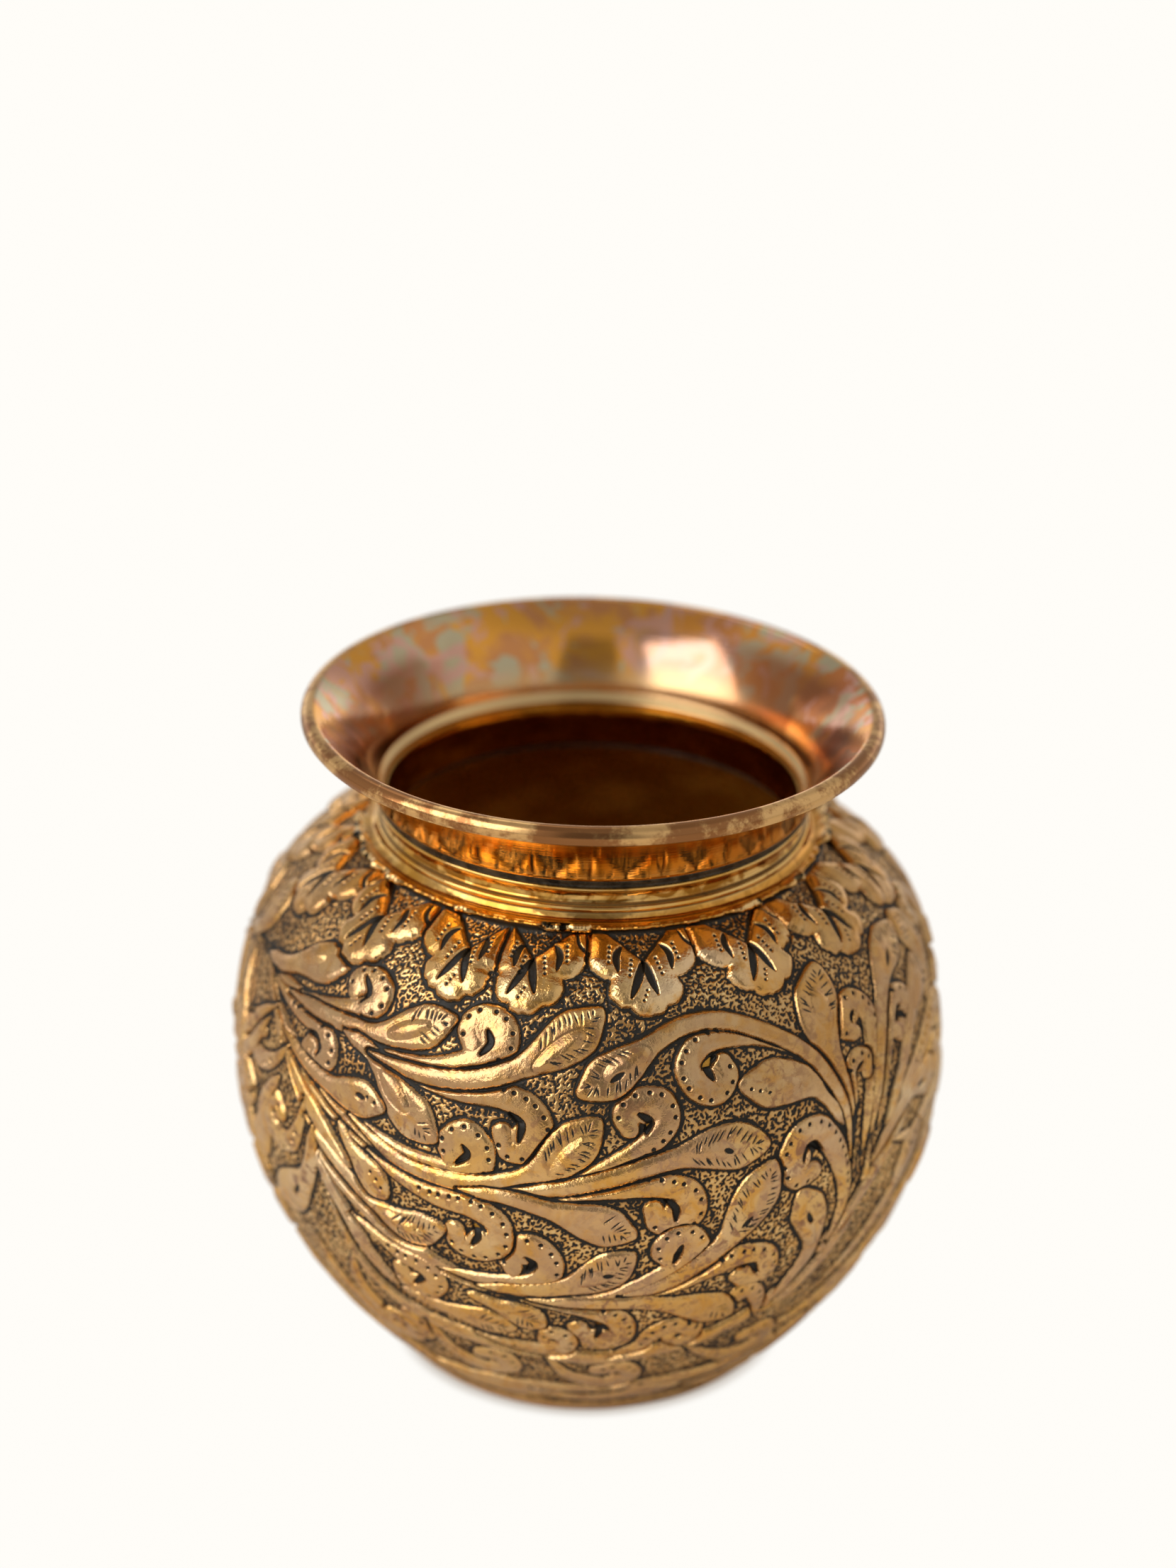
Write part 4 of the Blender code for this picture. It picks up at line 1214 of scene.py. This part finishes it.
# ---------------------------------------------------------------- collar with its ragged foot edge
BORE = 30.8
COLLAR_COLUMNS = 720
EDGE_ROWS = 8
EDGE_TURN = 80  # degrees up and down that the rounded foot edge goes
collar_face = np.vstack([
    arc((34.85, 86.36), 0.30, -EDGE_TURN, EDGE_TURN, EDGE_ROWS),
    spline([(34.7, 86.58), (34.2, 86.50), (33.6, 86.62), (33.1, 86.98), (32.8, 87.40), (32.68, 87.72)], 5),
    arc((32.45, 88.30), 0.52, -58, 66, 12),
    spline([(32.40, 88.84), (32.02, 89.1), (31.86, 89.6), (31.86, 90.2), (32.02, 90.8), (32.36, 91.16)], 6),
    arc((32.50, 91.42), 0.30, -70, 80, 10),
])
collar_rest = np.array([
    (32.4, collar_high.z + 0.25), (31.9, collar_high.z + 0.25), (31.7, collar_high.z + 0.9), (31.2, 92.3),
    (BORE, 91.2), (BORE, 86.1), (34.2, 85.95),
])
collar_outline = np.vstack([collar_face, collar_rest])
face_z = collar_outline[:, 1]
DARK_LINES = [(87.74, 0.10, 1.0), (88.88, 0.09, 0.9), (91.14, 0.08, 0.7)]  # height, width, strength
collar_dark = sum(share * np.exp(-((face_z - z) / wide) ** 2) for z, wide, share in DARK_LINES)
# where the painted reflection patches go: the cove, and at half strength the lower flare
cove_reflection_share = smooth((face_z - 88.95) / 0.2) * smooth((91.25 - face_z) / 0.2)
cove_reflection_share += 0.5 * smooth((87.7 - face_z) / 0.3)
for share in (collar_dark, cove_reflection_share):
    share[len(collar_face):] = 0
collar = turned(
    "turned_collar", collar_outline, collar_metal, COLLAR_COLUMNS,
    {"patina": collar_dark, "inside": (collar_outline[:, 0] < 31.8).astype(float), "cove": cove_reflection_share,
     "edge": np.zeros(len(collar_outline))},
    wobble=0.05, seed=6,
)


def tear_edge(piece):
    """Hammers the collar's foot edge: flaps that curl up and out, with low, ragged stretches between."""
    draw = np.random.default_rng(15)
    spare = 40  # columns drawn past both ends, so that the averages start and stop evenly
    bites, flaps = (
        np.convolve(draw.normal(0, 1, COLLAR_COLUMNS + 2 * spare), weights, "same")[spare:-spare]
        for weights in (np.ones(4) / 4, np.hanning(31) / 5.6)
    )
    flaps = smooth((flaps - 0.06) / 0.30)
    around = np.radians(np.linspace(-EDGE_TURN, EDGE_TURN, EDGE_ROWS))
    swell = np.zeros((len(collar_outline), 2))  # thickens the flaps' rim, outwards and upwards
    swell[:EDGE_ROWS] = 0.42 * np.column_stack([np.cos(around), np.sin(around)])
    share = smooth((collar_outline[:, 0] - 34.0) / 0.9)[:, None]
    out = np.clip(0.95 * flaps + 0.36 * bites - 0.35, -0.7, 0.9) * share
    out = out + swell[:, :1] * flaps * (1 + 0.9 * bites)
    rise = (0.60 * flaps - 0.22 + 0.15 * bites) * share + swell[:, 1:] * flaps
    mesh = piece.data
    place = np.zeros(len(mesh.vertices) * 3, np.float32)
    mesh.vertices.foreach_get("co", place)
    place = place.reshape(-1, 3)
    place[:, :2] *= (1 + out.ravel() * MM / np.hypot(place[:, 0], place[:, 1]))[:, None]
    place[:, 2] += rise.ravel() * MM
    mesh.vertices.foreach_set("co", place.ravel())
    # pale is the share of the painted highlight along the flaps' rim
    rim = smooth((collar_outline[:, 0] - 34.45) / 0.3)[:, None]
    pale = rim * np.clip(flaps + 0.15 * bites, 0, 1)
    mesh.attributes["edge"].data.foreach_set("value", pale.astype(np.float32).ravel())
    mesh.update()


tear_edge(collar)
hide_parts("neck_collar")

# ---------------------------------------------------------------- hidden rings and the base
corner_ring = turned(
    "collar_solder_fillet",
    [(31.6, fillet_low.z), (fillet_high.x, fillet_low.z), (fillet_high.x + 0.15, fillet_high.z),
     (31.9, fillet_high.z)],
    shade_dark_solder, 256,
)
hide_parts("collar_solder_ring")

seam_inner = seam_high.x - 0.8
seam = turned(
    "girth_seam_braze",
    spline([(seam_high.x, seam_high.z), (seam_inner + 0.2, seam_high.z - 0.4), (seam_inner, BELLY_Z),
            (seam_inner + 0.2, seam_low.z + 0.4), (seam_high.x, seam_low.z)], 4),
    braze_metal, wobble=0.05, seed=9,
)
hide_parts("girth_seam_ring")

base_outline = spline([(6, 0.12), (14, 0.05), (22, 0.02), (26.5, 0.0), (disc_high.x - 0.1, 0.0)], 4)
base_top = [(disc_high.x, 0.15), (disc_high.x, disc_high.z - 0.15), (disc_high.x - 0.2, disc_high.z),
            (20, disc_high.z + 0.05), (8, disc_high.z + 0.1)]
base = turned("base_plate", np.vstack([base_outline, base_top]), base_metal, 256, closed=False)
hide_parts("base_disc")

base_fillet = turned(
    "base_solder_fillet",
    [(disc_high.x + 0.02, 0.15), (solder_high.x, 0.10), (solder_high.x, disc_high.z + 0.5),
     (solder_high.x - 0.4, disc_high.z + 0.25), (disc_high.x - 0.35, disc_high.z + 0.02)],
    solder_metal, 256, wobble=0.03, seed=12,
)
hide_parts("base_solder_ring")

pieces += [mouth, wire, neck_solder, collar, corner_ring, seam, base, base_fillet]
for piece in pieces:
    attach(piece, BODY)

# ---------------------------------------------------------------- floor, light and camera
PAPER = (1.0, 0.980, 0.938)
FLOOR_HALF = 6.0  # metres


def make_floor():
    """White paper with a thin contact shadow to the camera, and a slightly greyer floor to the metal."""
    corners = [(x * FLOOR_HALF, y * FLOOR_HALF, 0) for x, y in ((-1, -1), (1, -1), (1, 1), (-1, 1))]
    mesh = bpy.data.meshes.new("floor")
    mesh.from_pydata(corners, [], [(0, 1, 2, 3)])
    floor = bpy.data.objects.new("floor", mesh)
    floor.location.z = -0.05 * MM
    bpy.context.scene.collection.objects.link(floor)
    material = bpy.data.materials.new("pale_floor")
    material.use_nodes = True
    s = Nodes(material.node_tree)
    s.tree.nodes.clear()
    contact = s.node("ShaderNodeAmbientOcclusion")
    contact.inputs["Distance"].default_value = 0.0025
    shade = s.ramp(contact.outputs["AO"], 0.05, 0.70, 0.25, 1.0, kind="LINEAR")
    seen = s.node("ShaderNodeEmission")
    s.feed(seen.inputs["Color"], s.mix(shade, (0.30, 0.22, 0.15), PAPER))
    paper = s.node("ShaderNodeBsdfDiffuse")
    paper.inputs["Color"].default_value = (0.84, 0.80, 0.74, 1)
    s.camera_sees(seen, paper, "ShaderNodeOutputMaterial")
    mesh.materials.append(material)


def make_world():
    """Pale paper to the eye; to the metal, a pale surround with a darker room behind the camera."""
    world = bpy.data.worlds.new("studio")
    bpy.context.scene.world = world
    world.use_nodes = True
    s = Nodes(world.node_tree)
    s.tree.nodes.clear()
    x, y, z = s.axes(s.node("ShaderNodeTexCoord").outputs["Generated"])
    backdrop = s.times(s.ramp(y, 0.35, 0.80, 0.0, 0.45), s.ramp(z, 0.12, 0.42, 1.0, 0.0))
    behind = s.times(s.ramp(y, 0.25, 0.60, 0.0, 0.26), s.ramp(z, 0.20, 0.45))
    overhead = s.minus(s.ramp(z, 0.78, 0.97, 1.0, 0.62), behind)
    strength = s.plus(s.times(s.ramp(y, -0.9, 0.3, 0.56, 0.60), overhead), backdrop)
    # whoever takes the picture stands in the way of the light, from just beside the camera's axis
    off_centre = s.math("ABSOLUTE", s.plus(x, s.times(y, 0.08)))
    beside = s.plus(off_centre, s.times(y, 0.30))
    viewer = s.times(s.ramp(beside, -0.04, 0.03, 0.60, 0.0), s.ramp(z, 0.83, 0.90, 1.0, 0.0))
    room = s.node("ShaderNodeBackground")
    room.inputs["Color"].default_value = (1.0, 0.95, 0.88, 1)
    s.feed(room.inputs["Strength"], s.times(strength, s.minus(1.0, viewer)))
    seen = s.node("ShaderNodeBackground")
    seen.inputs["Color"].default_value = (*PAPER, 1)
    s.camera_sees(seen, room, "ShaderNodeOutputWorld")


def area_light(name, place, width, tall, radiance, colour, upright=False):
    """A soft panel that faces the pot; an upright one stands plumb, as a window does."""
    data = bpy.data.lights.new(name, "AREA")
    data.shape = "RECTANGLE"
    data.size, data.size_y = width, tall
    data.energy = radiance * math.pi * width * tall
    data.color = colour
    light = bpy.data.objects.new(name, data)
    light.location = place
    away = Vector((place[0], place[1], 0.0 if upright else place[2] - 0.06))
    light.rotation_euler = (-away).to_track_quat("-Z", "Y").to_euler()
    bpy.context.scene.collection.objects.link(light)


make_floor()
make_world()
area_light("window", (-0.82, -0.57, 1.00), 0.93, 1.50, 2.50, (1.0, 0.96, 0.92), upright=True)
area_light("top_panel", (-0.30, 0.75, 1.15), 0.70, 0.40, 0.7, (1.0, 0.98, 0.95))

CAMERA_PLACE = (0.0, -0.5012, 0.3269)
CAMERA_DOWN = 25.01  # degrees below level
camera_data = bpy.data.cameras.new("camera")
camera_data.lens = 83.63
camera_data.sensor_width = 36.0
camera_data.sensor_fit = "AUTO"
camera = bpy.data.objects.new("camera", camera_data)
camera.location = CAMERA_PLACE
camera.rotation_euler = (math.radians(90 - CAMERA_DOWN), 0.0, 0.0)
bpy.context.scene.collection.objects.link(camera)
bpy.context.scene.camera = camera

focus = bpy.data.objects.new("focus", None)
focus.location = (0.0, 0.0, 0.066)
bpy.context.scene.collection.objects.link(focus)
follow = focus.constraints.new("COPY_LOCATION")  # stays near the side of the pot that faces the camera
follow.target = camera
follow.influence = 0.085
camera_data.dof.use_dof = True
camera_data.dof.focus_object = focus
camera_data.dof.aperture_fstop = 7.1

bpy.context.scene.view_settings.view_transform = "Standard"
bpy.context.scene.view_settings.look = "None"

bpy.context.view_layer.update()
